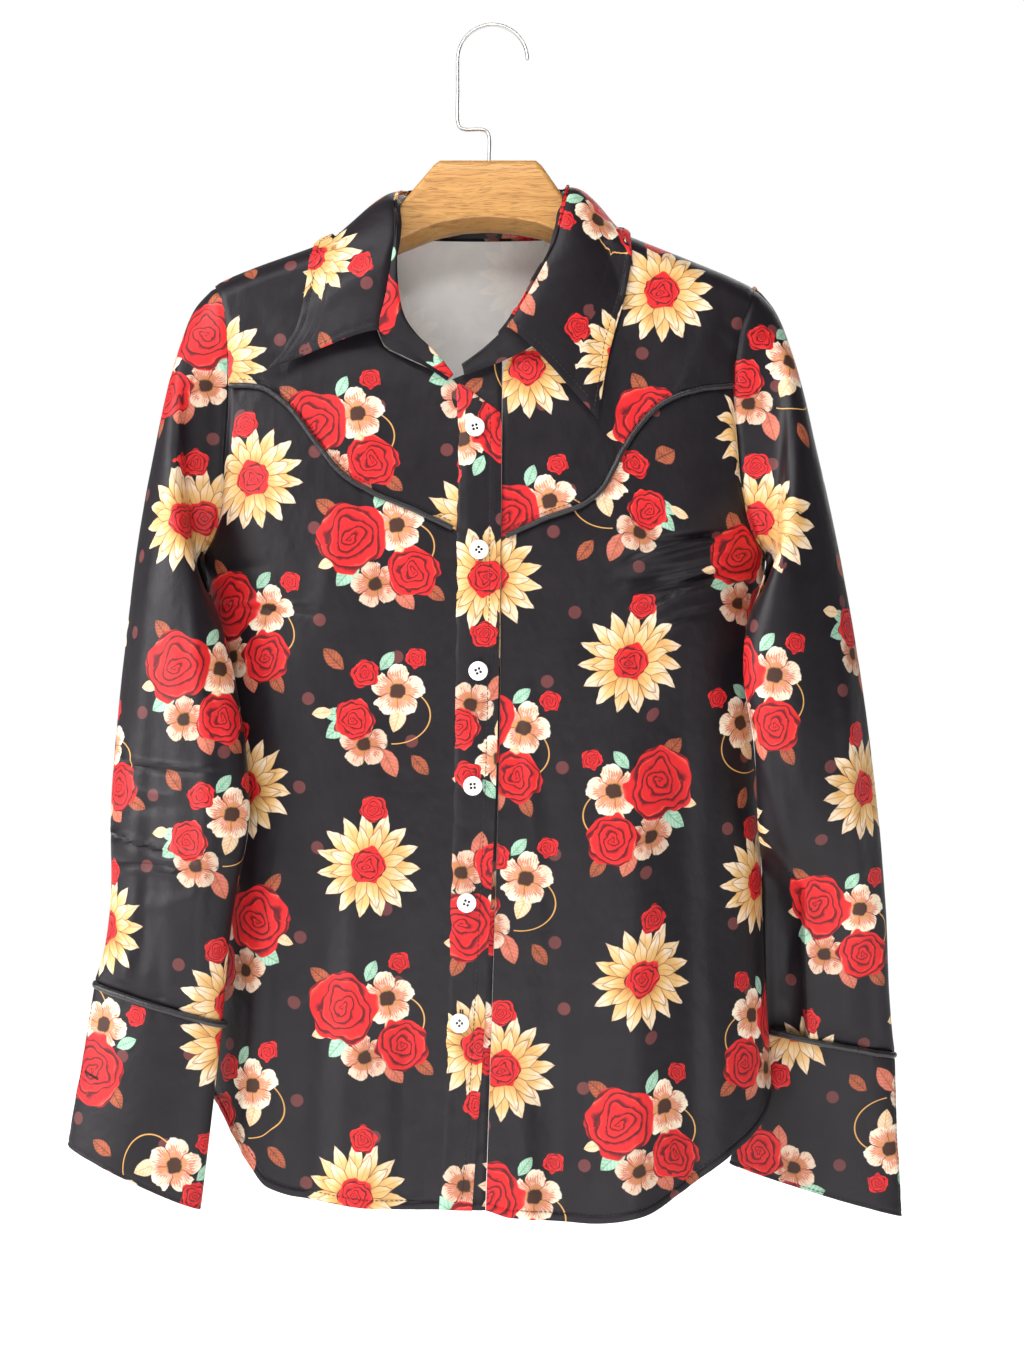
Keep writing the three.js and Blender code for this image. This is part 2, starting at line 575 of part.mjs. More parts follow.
function sleeveGrid(side, around, along) {
  const rows = sleeveRows[side];
  const folds = sleeveFolds[side];
  const grid = [];
  const lines = [];
  for (let c = 0; c < around; c += 1) {
    const turn = c / around;
    const points = [armholePoint(side, turn), ...rows.map((row) => sectionPoint(row, turn))];
    lines.push(new THREE.CatmullRomCurve3(points, false, 'centripetal'));
  }
  for (let r = 0; r <= along; r += 1) {
    const down = r / along;
    grid.push(lines.map((line, c) => {
      const turn = c / around;
      const point = line.getPoint(down);
      const rise = folds.reduce((sum, fold) => {
        const swell = THREE.MathUtils.smoothstep(down, fold.from, fold.from + 0.2)
          * (1 - THREE.MathUtils.smoothstep(down, fold.to - 0.2, fold.to));
        return sum + fold.rise * swell * Math.exp(-(((turn - fold.turn) / fold.width) ** 2));
      }, 0);
      point.y -= rise * Math.sign(Math.sin(turn * Math.PI * 2));
      return point;
    }));
  }
  return grid;
}

// The part of a sleeve's grid below its elbow row, starting one seam gap under it.
function belowElbow(grid) {
  const rows = grid.slice(elbowRow);
  rows[0] = rows[0].map((point, c) => (
    point.clone().lerp(rows[1][c], seamGap / point.distanceTo(rows[1][c]))
  ));
  return rows;
}

// A cuff's grid: an open band from end to end, meeting at its outer edge.
function cuffGrid(side, around, along) {
  const rows = cuffRows[side];
  const grid = [];
  for (let r = 0; r <= along; r += 1) {
    const row = [];
    for (let c = 0; c <= around; c += 1) {
      const turn = lerp(cuffEndTurn, 1 - cuffEndTurn, c / around);
      const points = rows.map((section) => sectionPoint(section, turn));
      row.push(new THREE.CatmullRomCurve3(points).getPoint(r / along));
    }
    grid.push(row);
  }
  return grid;
}

// --- Collar ---

const column = (rows, key) => new THREE.CatmullRomCurve3(
  rows.map((row) => new THREE.Vector3(...row[key])), false, 'centripetal');
const leafRows = collarRows.filter((row) => row.edge);

function standGrid(stations) {
  const seams = column(collarRows, 'seam');
  const folds = column(collarRows, 'fold');
  const grid = [[], [], []];
  for (let s = 0; s <= stations; s += 1) {
    const low = seams.getPoint(s / stations);
    const high = folds.getPoint(s / stations);
    const height = low.distanceTo(high);
    grid[0].push(high.clone().lerp(low, collarFoldDrop / height));
    grid[1].push(high.clone().lerp(low, 0.5));
    grid[2].push(low.clone().lerp(high, collarSeamRise / height));
  }
  return grid;
}

function leafGrid(stations, steps) {
  const folds = column(leafRows, 'fold');
  const edges = column(leafRows, 'edge');
  const grid = [];
  for (let r = 0; r <= steps; r += 1) {
    const down = (r / steps) ** 1.4;
    const row = [];
    for (let s = 0; s <= stations; s += 1) {
      const point = folds.getPoint(s / stations).lerp(edges.getPoint(s / stations), down);
      const outward = point.clone().sub(collarAxis).setZ(0).normalize();
      outward.z = 0.6;
      point.addScaledVector(outward.normalize(), leafCrown * Math.sin(Math.PI * Math.sqrt(down)));
      row.push(clearOfBody(point));
    }
    grid.push(row);
  }
  return grid;
}

// --- Hanger, piping and buttons ---

function solidOf(geometry) {
  return new wasm.Manifold(new wasm.Mesh({
    numProp: 3,
    vertProperties: geometry.attributes.position.array,
    triVerts: new Uint32Array(geometry.index.array),
  }));
}

function geometryOf(solid) {
  const mesh = solid.getMesh();
  const geometry = new THREE.BufferGeometry();
  geometry.setAttribute('position', new THREE.BufferAttribute(mesh.vertProperties, 3));
  geometry.setIndex(new THREE.BufferAttribute(mesh.triVerts, 1));
  return joined(geometry);
}

// The wooden body: sections across it, each a rounded rectangle, closed at both tips.
function hangerWood() {
  const root = { right: hangerRows.at(-1).x, left: 70 };
  const arm = (row, side) => {
    const share = (row.x - armReach.right) / (root.right - armReach.right);
    const x = lerp(armReach[side], root[side], share);
    const top = ridge(x) - hangerSeat;
    return { ...row, x, top, bottom: top - row.deep };
  };
  const rows = [
    ...hangerRows.map((row) => arm(row, 'right')),
    ...hangerCore,
    ...hangerRows.map((row) => arm(row, 'left')).reverse(),
  ];
  const around = 20;
  const positions = [];
  rows.forEach((row) => {
    const middle = (row.top + row.bottom) / 2;
    const tall = (row.top - row.bottom) / 2;
    for (let i = 0; i < around; i += 1) {
      const angle = ((i + 0.5) / around) * Math.PI * 2;
      const bend = (value) => Math.sign(value) * Math.abs(value) ** (2 / row.power);
      const y = row.half * bend(Math.cos(angle));
      positions.push(row.x, y, middle + tall * bend(Math.sin(angle)));
    }
  });
  const faces = [];
  const last = rows.length - 1;
  for (let r = 0; r < last; r += 1) {
    for (let i = 0; i < around; i += 1) {
      const a = r * around + i;
      const b = r * around + ((i + 1) % around);
      faces.push(a, b, b + around, a, b + around, a + around);
    }
  }
  for (let i = 1; i < around - 1; i += 1) {
    faces.push(0, i + 1, i);
    faces.push(last * around, last * around + i, last * around + i + 1);
  }
  const geometry = new THREE.BufferGeometry();
  geometry.setAttribute('position', new THREE.Float32BufferAttribute(positions, 3));
  geometry.setIndex(faces);
  const { radius, length, below } = stemBore;
  const bore = new THREE.CylinderGeometry(radius, radius, length, 16);
  bore.rotateX(Math.PI / 2);
  bore.translate(hook.stemX, 0, hook.stemFoot - below + length / 2);
  return geometryOf(solidOf(faceOut(geometry)).subtract(solidOf(joined(bore))));
}

function hangerHook() {
  const points = [];
  const overTop = 12;
  for (let i = 0; i <= overTop; i += 1) {
    const angle = (i / overTop) * Math.PI;
    const x = hook.bend * Math.cos(angle);
    points.push(new THREE.Vector3(x, 0, hook.bend * Math.sin(angle) - hook.tipDrop));
  }
  const shankX = -hook.bend;
  const { shankFoot, jogHeight, stemX, stemFoot, corner } = hook;
  const turn = corner * 0.3;
  [
    [shankX, (shankFoot - hook.tipDrop) / 2], [shankX, shankFoot],
    [shankX + turn, jogHeight + turn], [shankX + corner, jogHeight],
    [stemX - corner, jogHeight], [stemX - turn, jogHeight - turn],
    [stemX, jogHeight - corner], [stemX, (jogHeight + stemFoot) / 2], [stemX, stemFoot],
  ].forEach(([x, z]) => points.push(new THREE.Vector3(x, 0, z)));
  return cord(points, 60, hook.wireDeep / 2, hook.wireWide / 2, 8);
}

// A yoke's piping follows the seam, resting in front of the two panels that it joins.
function yokePiping(side) {
  const first = side === 'right' ? (z) => placketSeam(z) - 1.8 : (z) => placketEdge(z) + 2.4;
  const last = side === 'right' ? armRight : armLeft;
  const seam = side === 'right' ? yokeSeamRight : yokeSeamLeft;
  const reach = { from: 0.005, to: 0.985 }; // shares of the seam at the cord's two ends
  const steps = 26;
  const points = [];
  for (let i = 0; i <= steps; i += 1) {
    const share = lerp(reach.from, reach.to, i / steps);
    let x = 0;
    let z = yokeRows[side][0].z;
    for (let step = 0; step < settleSteps; step += 1) {
      x = lerp(first(z), last(z), share);
      z = seam(x);
    }
    const seat = new THREE.Vector3(x, frontY(x, z), z);
    points.push(seat.addScaledVector(frontNormal(x, z), pipingRadius + pipingSeat));
  }
  return cord(points, 30, pipingRadius, pipingRadius, 8);
}

// A cuff's piping follows its seam with the sleeve, round the outside of both.
function cuffPiping(side) {
  const section = cuffRows[side][0];
  const middle = new THREE.Vector3(...section.outer)
    .lerp(new THREE.Vector3(...section.inner), 0.5);
  const down = new THREE.Vector3(0, 0, -1);
  const seamTurn = cuffEndTurn * 2;
  const turnStep = 0.01;
  const around = 40;
  const points = [];
  for (let i = 0; i <= around; i += 1) {
    const turn = lerp(seamTurn, 1 - seamTurn, i / around);
    const point = sectionPoint(section, turn);
    const before = sectionPoint(section, turn - turnStep);
    const out = sectionPoint(section, turn + turnStep).sub(before).cross(down).normalize();
    if (out.dot(point.clone().sub(middle)) < 0) out.negate();
    points.push(point.addScaledVector(out, cuffPipingRadius + pipingSeat));
  }
  return cord(points, 44, cuffPipingRadius, cuffPipingRadius, 8);
}

function buttonGeometry() {
  const radius = buttonDiameter / 2;
  const holeRadius = 0.9;
  const holeReach = 1.7;
  const ring = (x, y, size, sides) => Array.from({ length: sides }, (_, i) => {
    const angle = (i / sides) * Math.PI * 2;
    return new THREE.Vector2(x + size * Math.cos(angle), y + size * Math.sin(angle));
  });
  const disc = new THREE.Shape(ring(0, 0, radius, 20));
  ring(0, 0, holeReach, 4).forEach((hole) => {
    disc.holes.push(new THREE.Path(ring(hole.x, hole.y, holeRadius, 6)));
  });
  const geometry = new THREE.ExtrudeGeometry(disc, { depth: buttonThickness, bevelEnabled: false });
  geometry.rotateX(Math.PI / 2);
  return joined(geometry);
}

// --- The scene graph ---

const shirt = new THREE.Group();
const finish = (colour, roughness, metalness = 0) => (
  new THREE.MeshStandardMaterial({ color: colour, roughness, metalness }));
const materials = {
  print: finish(colours.print, 0.45),
  piping: finish(colours.piping, 0.4),
  button: finish(colours.button, 0.25),
  wood: finish(colours.wood, 0.5),
  wire: finish(colours.wire, 0.3, 1),
};

function add(name, geometry, material) {
  const mesh = new THREE.Mesh(geometry, material);
  mesh.name = name;
  shirt.add(mesh);
  return mesh;
}

add('hanger_wood', hangerWood(), materials.wood);
add('hanger_hook', hangerHook(), materials.wire);
Object.entries(panels).forEach(([name, panel]) => {
  const onSeam = (point) => fullness(point.x, point.z) < 0.02;
  add(name, clothShell(panelGrid(panel), clothWall, panel.inward, false, onSeam), materials.print);
});
add('collar_stand', clothShell(standGrid(44), bandWall, -1), materials.print);
add('collar_leaf', clothShell(leafGrid(48, 7), bandWall, -1), materials.print);
['right', 'left'].forEach((side) => {
  const wallSide = side === 'right' ? 1 : -1;
  const sleeve = sleeveGrid(side, 26, 18);
  const upper = clothShell(sleeve.slice(0, elbowRow + 1), clothWall, wallSide, true);
  const lower = clothShell(belowElbow(sleeve), clothWall, wallSide, true);
  add(`sleeve_upper_${side}`, upper, materials.print);
  add(`sleeve_lower_${side}`, lower, materials.print);
  add(`cuff_${side}`, clothShell(cuffGrid(side, 26, 4), bandWall, wallSide), materials.print);
  add(`cuff_piping_${side}`, cuffPiping(side), materials.piping);
  add(`yoke_piping_${side}`, yokePiping(side), materials.piping);
});
buttonPlaces.forEach((place, i) => {
  const button = add(`button_${i + 1}`, buttonGeometry(), materials.button);
  const normal = frontNormal(place.x, place.z);
  button.position.set(place.x, placketY(place.x, place.z), place.z);
  button.position.addScaledVector(normal, seamGap + 0.1);
  button.quaternion.setFromUnitVectors(new THREE.Vector3(0, -1, 0), normal);
});

export default shirt;
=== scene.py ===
# A long-sleeved button-up shirt with western yokes, on a wooden hanger.
# The garment's own numbers are millimetres; meshes are made in metres.
import math
import bpy
import numpy as np
from mathutils import Matrix, Vector


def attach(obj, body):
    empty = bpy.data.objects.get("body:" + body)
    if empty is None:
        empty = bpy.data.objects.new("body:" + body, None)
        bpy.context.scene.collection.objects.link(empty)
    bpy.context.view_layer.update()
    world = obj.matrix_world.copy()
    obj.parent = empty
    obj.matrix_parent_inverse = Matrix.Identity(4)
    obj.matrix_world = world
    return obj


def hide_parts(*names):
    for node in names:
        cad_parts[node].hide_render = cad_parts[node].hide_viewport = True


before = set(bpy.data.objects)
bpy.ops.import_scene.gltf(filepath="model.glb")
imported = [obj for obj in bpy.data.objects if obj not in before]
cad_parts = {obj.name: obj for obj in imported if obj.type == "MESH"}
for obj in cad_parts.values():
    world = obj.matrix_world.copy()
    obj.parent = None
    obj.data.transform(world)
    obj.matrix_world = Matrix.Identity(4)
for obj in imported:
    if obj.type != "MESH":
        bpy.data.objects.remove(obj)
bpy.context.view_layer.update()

mm = 0.001
print("frame loaded:", len(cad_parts), "nodes")


def table(columns, *rows):
    names = columns.split()
    return [dict(zip(names, row)) for row in rows]


def smoothCurve(rows, by, out):
    # a monotone curve through two columns of a table, level past both ends
    knots = sorted((row[by], row[out]) for row in rows)
    xs = np.array([k[0] for k in knots], float)
    ys = np.array([k[1] for k in knots], float)
    rise = np.diff(ys) / np.diff(xs)
    slopes = np.zeros(len(xs))
    slopes[0], slopes[-1] = rise[0], rise[-1]
    for i in range(1, len(xs) - 1):
        before, after = rise[i - 1], rise[i]
        slopes[i] = 0 if before * after <= 0 else 2 * before * after / (before + after)

    def curve(at):
        place = np.clip(at, xs[0], xs[-1])
        i = np.clip(np.searchsorted(xs, place, side="right") - 1, 0, len(xs) - 2)
        span = xs[i + 1] - xs[i]
        t = (place - xs[i]) / span
        pull = t * (1 - t) ** 2 * slopes[i] - t * t * (1 - t) * slopes[i + 1]
        return (1 + 2 * t) * (1 - t) ** 2 * ys[i] + t * t * (3 - 2 * t) * ys[i + 1] + pull * span

    return curve


def smoothstep(x, low, high):
    t = np.clip((x - low) / (high - low), 0, 1)
    return t * t * (3 - 2 * t)


def lerp(a, b, t):
    return a + (b - a) * t


def bell(x, width):
    return np.exp(-(x / width) ** 2)


def unit(vectors):
    length = np.linalg.norm(vectors, axis=-1, keepdims=True)
    return vectors / np.where(length < 1e-9, 1, length)


def splinePoints(points, t):
    # centripetal spline: points (..., n, 3), t (m,) gives (m, ..., 3)
    points = np.asarray(points, float)
    n = points.shape[-2]
    first = 2 * points[..., :1, :] - points[..., 1:2, :]
    last = 2 * points[..., -1:, :] - points[..., -2:-1, :]
    padded = np.concatenate([first, points, last], axis=-2)
    out = []
    for at in np.atleast_1d(t):
        place = at * (n - 1)
        i = int(min(math.floor(place), n - 2))
        w = place - i
        p0, p1, p2, p3 = (padded[..., i + k, :] for k in range(4))
        d = [np.sqrt(np.linalg.norm(b - a, axis=-1, keepdims=True))
             for a, b in ((p0, p1), (p1, p2), (p2, p3))]
        d1 = np.where(d[1] < 1e-4, 1, d[1])
        d0 = np.where(d[0] < 1e-4, d1, d[0])
        d2 = np.where(d[2] < 1e-4, d1, d[2])
        t1 = ((p1 - p0) / d0 - (p2 - p0) / (d0 + d1) + (p2 - p1) / d1) * d1
        t2 = ((p2 - p1) / d1 - (p3 - p1) / (d1 + d2) + (p3 - p2) / d2) * d1
        c2 = -3 * p1 + 3 * p2 - 2 * t1 - t2
        c3 = 2 * p1 - 2 * p2 + t1 + t2
        out.append(p1 + t1 * w + c2 * w * w + c3 * w ** 3)
    return np.array(out)


def softNoise(x, y, seed):
    # smooth value noise on a unit lattice, about -1 to 1
    def corner(i, j):
        value = np.sin(i * 127.1 + j * 311.7 + seed * 74.7) * 43758.5453
        return (value - np.floor(value)) * 2 - 1
    i, j = np.floor(x), np.floor(y)
    u, v = x - i, y - j
    u, v = u * u * (3 - 2 * u), v * v * (3 - 2 * v)
    low = lerp(corner(i, j), corner(i + 1, j), u)
    high = lerp(corner(i, j + 1), corner(i + 1, j + 1), u)
    return lerp(low, high, v)


def gridNormals(grid, closed=False):
    if closed:
        across = np.roll(grid, -1, axis=1) - np.roll(grid, 1, axis=1)
    else:
        across = np.empty_like(grid)
        across[:, 1:-1] = grid[:, 2:] - grid[:, :-2]
        across[:, 0] = grid[:, 1] - grid[:, 0]
        across[:, -1] = grid[:, -1] - grid[:, -2]
    down = np.empty_like(grid)
    down[1:-1] = grid[2:] - grid[:-2]
    down[0] = grid[1] - grid[0]
    down[-1] = grid[-1] - grid[-2]
    return unit(np.cross(across, down))


def clothLengths(grid, axis):
    # running length of the cloth along one way of its grid
    step = np.linalg.norm(np.diff(grid, axis=axis), axis=-1)
    start = np.zeros_like(step.take([0], axis=axis))
    return np.concatenate([start, np.cumsum(step, axis=axis)], axis=axis)


def newMesh(name, points, faces, slots=None, uvs=None, sharp=40):
    mesh = bpy.data.meshes.new(name)
    mesh.from_pydata((np.asarray(points) * mm).tolist(), [], faces)
    if slots is not None:
        mesh.polygons.foreach_set("material_index", slots)
    if uvs is not None:
        layer = mesh.uv_layers.new(name="cloth")
        corners = np.empty(len(mesh.loops), dtype=np.int32)
        mesh.loops.foreach_get("vertex_index", corners)
        layer.data.foreach_set("uv", (np.asarray(uvs)[corners] * mm).astype(np.float32).ravel())
    mesh.validate()
    mesh.shade_smooth()
    mesh.set_sharp_from_angle(angle=math.radians(sharp))
    mesh.update()
    piece = bpy.data.objects.new(name, mesh)
    bpy.context.collection.objects.link(piece)
    return piece


def clothPiece(name, grid, uv, wall, inward, closed=False):
    # a cloth wall: the grid is its right side, the wall's other face its wrong side
    rows, columns = grid.shape[:2]
    normals = gridNormals(grid, closed)
    thick = np.broadcast_to(np.asarray(wall, float), (rows, columns))[..., None]
    inner = grid + normals * inward * thick
    points = np.concatenate([grid.reshape(-1, 3), inner.reshape(-1, 3)])
    uvs = np.concatenate([uv.reshape(-1, 2), uv.reshape(-1, 2)])
    layer = rows * columns
    ids = np.arange(layer).reshape(rows, columns)
    right = np.roll(ids, -1, axis=1) if closed else ids[:, 1:]
    left = ids if closed else ids[:, :-1]
    a, b, c, d = left[:-1], right[:-1], right[1:], left[1:]
    outerFaces = np.stack([a, b, c, d], -1).reshape(-1, 4)
    innerFaces = np.stack([a, d, c, b], -1).reshape(-1, 4) + layer
    rims = []

    def rim(line, flip):
        p, q = line[:-1], line[1:]
        quads = np.stack([p, p + layer, q + layer, q], -1)
        rims.append(quads[:, ::-1] if flip else quads)

    topLine = np.append(ids[0], ids[0, 0]) if closed else ids[0]
    endLine = np.append(ids[-1], ids[-1, 0]) if closed else ids[-1]
    rim(topLine, False)
    rim(endLine, True)
    if not closed:
        rim(ids[:, 0], True)
        rim(ids[:, -1], False)
    rimFaces = np.concatenate(rims)
    if inward > 0:
        outerFaces, innerFaces, rimFaces = outerFaces[:, ::-1], innerFaces[:, ::-1], rimFaces[:, ::-1]
    faces = np.concatenate([outerFaces, innerFaces, rimFaces])
    slots = np.concatenate([
        np.zeros(len(outerFaces), int), np.ones(len(innerFaces), int), np.zeros(len(rimFaces), int)])
    piece = newMesh(name, points, faces.tolist(), slots.tolist(), uvs)
    if closed:
        mendClosedUv(piece.data, uv, rows, columns)
    return piece


def mendClosedUv(mesh, uv, rows, columns):
    # on a closed piece the last faces join the last column to the first, whose place in the cloth
    # is there one column further on
    layer = mesh.uv_layers["cloth"]
    corners = np.empty(len(mesh.loops), dtype=np.int32)
    mesh.loops.foreach_get("vertex_index", corners)
    values = np.empty(len(mesh.loops) * 2, dtype=np.float32)
    layer.data.foreach_get("uv", values)
    values = values.reshape(-1, 2)
    flat = corners % (rows * columns)
    column, row = flat % columns, flat // columns
    starts = np.empty(len(mesh.polygons), dtype=np.int32)
    totals = np.empty(len(mesh.polygons), dtype=np.int32)
    mesh.polygons.foreach_get("loop_start", starts)
    mesh.polygons.foreach_get("loop_total", totals)
    owner = np.repeat(np.arange(len(starts)), totals)
    hasLast = np.zeros(len(starts), bool)
    np.logical_or.at(hasLast, owner, column == columns - 1)
    mend = hasLast[owner] & (column == 0)
    step = (uv[:, -1] - uv[:, -2]) * mm
    values[mend] = uv[row[mend], -1] * mm + step[row[mend]]
    layer.data.foreach_set("uv", values.ravel())


def edgeDistances(grid):
    # how far each point lies from the grid's top, foot, first and last edge, along the cloth
    down = clothLengths(grid, 0)
    across = clothLengths(grid, 1)
    return {
        "top": down, "foot": down[-1:] - down, "first": across, "last": across[:, -1:] - across,
        "down": down, "across": across,
    }


def sewnEdge(kind, off, wave):
    # a seam pulls the cloth in at its edge, and the thread gathers it in small puckers
    sewn = sewing[kind]
    return sewn["pucker"] * wave * bell(off, sewn["reach"]) - sewn["sink"] * bell(off, sewn["turn"])


def dressEdges(grid, edges):
    # what sewing does to the cloth near its edges; a hem also stands proud
    distances = edgeDistances(grid)
    rise = np.zeros(grid.shape[:2])
    for edge, kind, seed in edges:
        sewn = sewing[kind]
        off = distances[edge]
        run = distances["across" if edge in ("top", "foot") else "down"] / sewn["pitch"]
        wave = softNoise(run, 0 * run, seed) + 0.5 * softNoise(run * 2.3, 0 * run, seed + 5)
        rise += sewnEdge(kind, off, wave)
        if sewn["hem"]:
            rise += sewn["proud"] * (1 - smoothstep(off, sewn["hem"] - 0.6, sewn["hem"] + 1.2))
            rise -= sewn["groove"] * bell(off - sewn["hem"], 1.1)
    return rise


# mm: how far apart and how deep the puckers are, and how a hem is folded
sewing = {
    "seam": dict(pitch=8.5, reach=9, pucker=0.42, sink=1.0, turn=1.6, hem=0, proud=0, groove=0),
    "armhole": dict(pitch=14, reach=14, pucker=0.5, sink=1.3, turn=2.4, hem=0, proud=0, groove=0),
    "hem": dict(pitch=10, reach=10, pucker=0.5, sink=0.25, turn=0.7, hem=5.5, proud=0.4, groove=0.6),
    "stitched": dict(pitch=8, reach=7, pucker=0.22, sink=0.35, turn=0.8, hem=5, proud=0.2, groove=0.3),
    "bandEdge": dict(pitch=9, reach=6, pucker=0.2, sink=0.45, turn=0.9, hem=2.2, proud=0.2, groove=0.5),
}


def creaseRise(rows, x, z):
    # soft ridges and troughs, listed one by one: each runs from one place to another, bowed aside,
    # fading at both ends; `lean` sets a steeper far side
    total = np.zeros_like(x)
    for row in rows:
        runX, runZ = row["toX"] - row["x"], row["toZ"] - row["z"]
        length = math.hypot(runX, runZ)
        along = ((x - row["x"]) * runX + (z - row["z"]) * runZ) / length ** 2
        aside = ((x - row["x"]) * runZ - (z - row["z"]) * runX) / length
        aside = aside - row["bow"] * 4 * along * (1 - along)
        swell = smoothstep(along, 0, row["grow"]) * (1 - smoothstep(along, 1 - row["fade"], 1))
        side = aside / row["width"]
        ridge = np.exp(-side ** 2) - row["lean"] * np.exp(-(side - 1.5) ** 2)
        total += row["rise"] * swell * ridge
    return total


# the body's outlines, from the neck and shoulders down to the hem
bodyRows = table(
    "z foldRight foldLeft side front back",
    (-95, -226, 216, 0, 32, 33), (-175, -222, 212, 0, 34, 33), (-240, -212, 200, 2, 42, 33),
    (-300, -203, 191, 6, 50, 32), (-358, -196, 185, 10, 56, 30), (-480, -191, 182, 12, 58, 29),
    (-600, -190, 183, 12, 60, 28), (-690, -192, 188, 12, 61, 28), (-810, -196, 195, 12, 62, 28))
ridgeRows = table(
    "x z",
    (-215, -198), (-187, -175.5), (-160, -164), (-123, -151), (-70, -131), (-5, -112), (57, -130),
    (112, -151), (145, -164), (162, -171), (177, -178.5), (205, -200))
armholeRows = table(
    "z right left",
    (-175.5, -187, 177), (-190, -180, 171.5), (-212, -176, 163.5), (-242, -175, 160),
    (-299, -178, 164), (-326, -181, 168.5), (-346, -187, 176), (-358, -196, 185))
neckRows = table(
    "z right left",
    (-131, -70, 57), (-148, -77, 63), (-175, -80, 62), (-200, -78, 52), (-222, -71, 28),
    (-228, -60, 12), (-238, -38, 7.4), (-244, -24, 6.9), (-252, -16, 6.8), (-454, -16, 5.3),
    (-649, -21, 0.3), (-800, -27, -4.5))
placketRows = table(
    "z seam edge inner",
    (-244, -24, 0, 6.5), (-276, -23, 6, 6.3), (-454, -24, 4, 5), (-649, -29, -4, 0),
    (-800, -35, -14, -4.8))
yokeRightRows = table(
    "x z",
    (-180, -246), (-154, -248), (-135, -260), (-114, -287), (-97, -307), (-79, -318), (-51, -330),
    (-14, -348))
yokeLeftRows = table(
    "x z",
    (5, -349), (34, -336), (60, -326), (72, -316), (86, -290), (97, -274), (111, -260),
    (132, -251), (164, -246))
hemRows = table(
    "x z",
    (-198, -712), (-182, -726), (-163, -755), (-147, -774), (-126, -780), (-68, -785), (-6, -786),
    (12, -791), (64, -795), (98, -790), (120, -779), (156, -755), (179, -737), (197, -700))
backNeckRows = table(
    "x z",
    (-70, -131), (-68.5, -134.6), (-64, -136), (-35, -138), (-5, -138.5), (25, -138), (51, -135.5),
    (55.5, -133.6), (57, -130))

# the drapes that shape the body, from the chest and shoulder blades to the hem
frontDrapes = table(
    "x z toX toZ bow width rise grow fade lean",
    (-150, -420, -163, -830, 3, 15, 5, 0.5, 0.02, 0), (-112, -470, -124, -840, -3, 17, -5, 0.6, 0.02, 0),
    (-72, -400, -84, -840, 2, 18, 4, 0.7, 0.02, 0), (46, -520, 44, -850, 3, 17, -4, 0.6, 0.02, 0),
    (84, -400, 93, -850, -3, 18, 5, 0.6, 0.02, 0), (128, -380, 135, -830, 4, 15, -6, 0.5, 0.02, 0),
    (170, -330, 92, -385, 0, 11, -4, 0.2, 0.25, 0))
backDrapes = table(
    "x z toX toZ bow width rise grow fade lean",
    (-130, -240, -148, -820, 4, 18, 4, 0.5, 0.02, 0), (-86, -300, -98, -820, -4, 20, -5, 0.5, 0.02, 0),
    (-24, -360, -36, -830, 3, 20, 4, 0.6, 0.02, 0), (38, -330, 34, -830, -3, 20, -4, 0.6, 0.02, 0),
    (92, -260, 106, -820, 3, 18, 5, 0.5, 0.02, 0))

ridge = smoothCurve(ridgeRows, "x", "z")
foldRight = smoothCurve(bodyRows, "z", "foldRight")
foldLeft = smoothCurve(bodyRows, "z", "foldLeft")
sideY = smoothCurve(bodyRows, "z", "side")
frontDepth = smoothCurve(bodyRows, "z", "front")
backDepth = smoothCurve(bodyRows, "z", "back")
neckRight = smoothCurve(neckRows, "z", "right")
neckLeft = smoothCurve(neckRows, "z", "left")
armRight = smoothCurve(armholeRows, "z", "right")
armLeft = smoothCurve(armholeRows, "z", "left")
yokeSeamRight = smoothCurve(yokeRightRows, "x", "z")
yokeSeamLeft = smoothCurve(yokeLeftRows, "x", "z")
hem = smoothCurve(hemRows, "x", "z")
backNeck = smoothCurve(backNeckRows, "x", "z")
placketSeam = smoothCurve(placketRows, "z", "seam")
placketEdge = smoothCurve(placketRows, "z", "edge")
innerSeam = smoothCurve(placketRows, "z", "inner")
underarm = armholeRows[-1]["z"]

cloth = dict(wall=0.7, band=1.5, gap=0.16, turnOver=18, lens=4)


def fullness(x, z):
    # 0 on the shoulder line and the side folds, 1 inside
    middle = (foldRight(z) + foldLeft(z)) / 2
    half = (foldLeft(z) - foldRight(z)) / 2
    out = np.clip(np.abs(x - middle) / half, 0, 1)
    lens = np.sqrt(1 - out ** cloth["lens"])
    under = np.clip((ridge(x) - z) / cloth["turnOver"], 0, 1)
    return lens * np.sqrt(1 - (1 - under) ** 2)


def frontY(x, z):
    depth = frontDepth(z) + creaseRise(frontDrapes, x, z)
    return sideY(z) - cloth["gap"] / 2 - fullness(x, z) * depth


def backY(x, z):
    depth = backDepth(z) + creaseRise(backDrapes, x, z)
    return sideY(z) + cloth["gap"] / 2 + fullness(x, z) * depth


def outRight(z):
    return np.where(z > underarm, armRight(z), foldRight(z))


def outLeft(z):
    return np.where(z > underarm, armLeft(z), foldLeft(z))


def crowded(count, power=1, places=()):
    # steps from 0 to 1 that crowd towards 0 by `power` and about each (middle, reach, extra)
    fine = np.linspace(0, 1, 3001)
    density = 1 + sum(extra * np.exp(-((fine - middle) / reach) ** 2) for middle, reach, extra in places)
    run = np.cumsum(np.broadcast_to(density, fine.shape))
    run = (run - run[0]) / (run[-1] - run[0])
    return np.interp(np.linspace(0, 1, count + 1) ** power, run, fine)


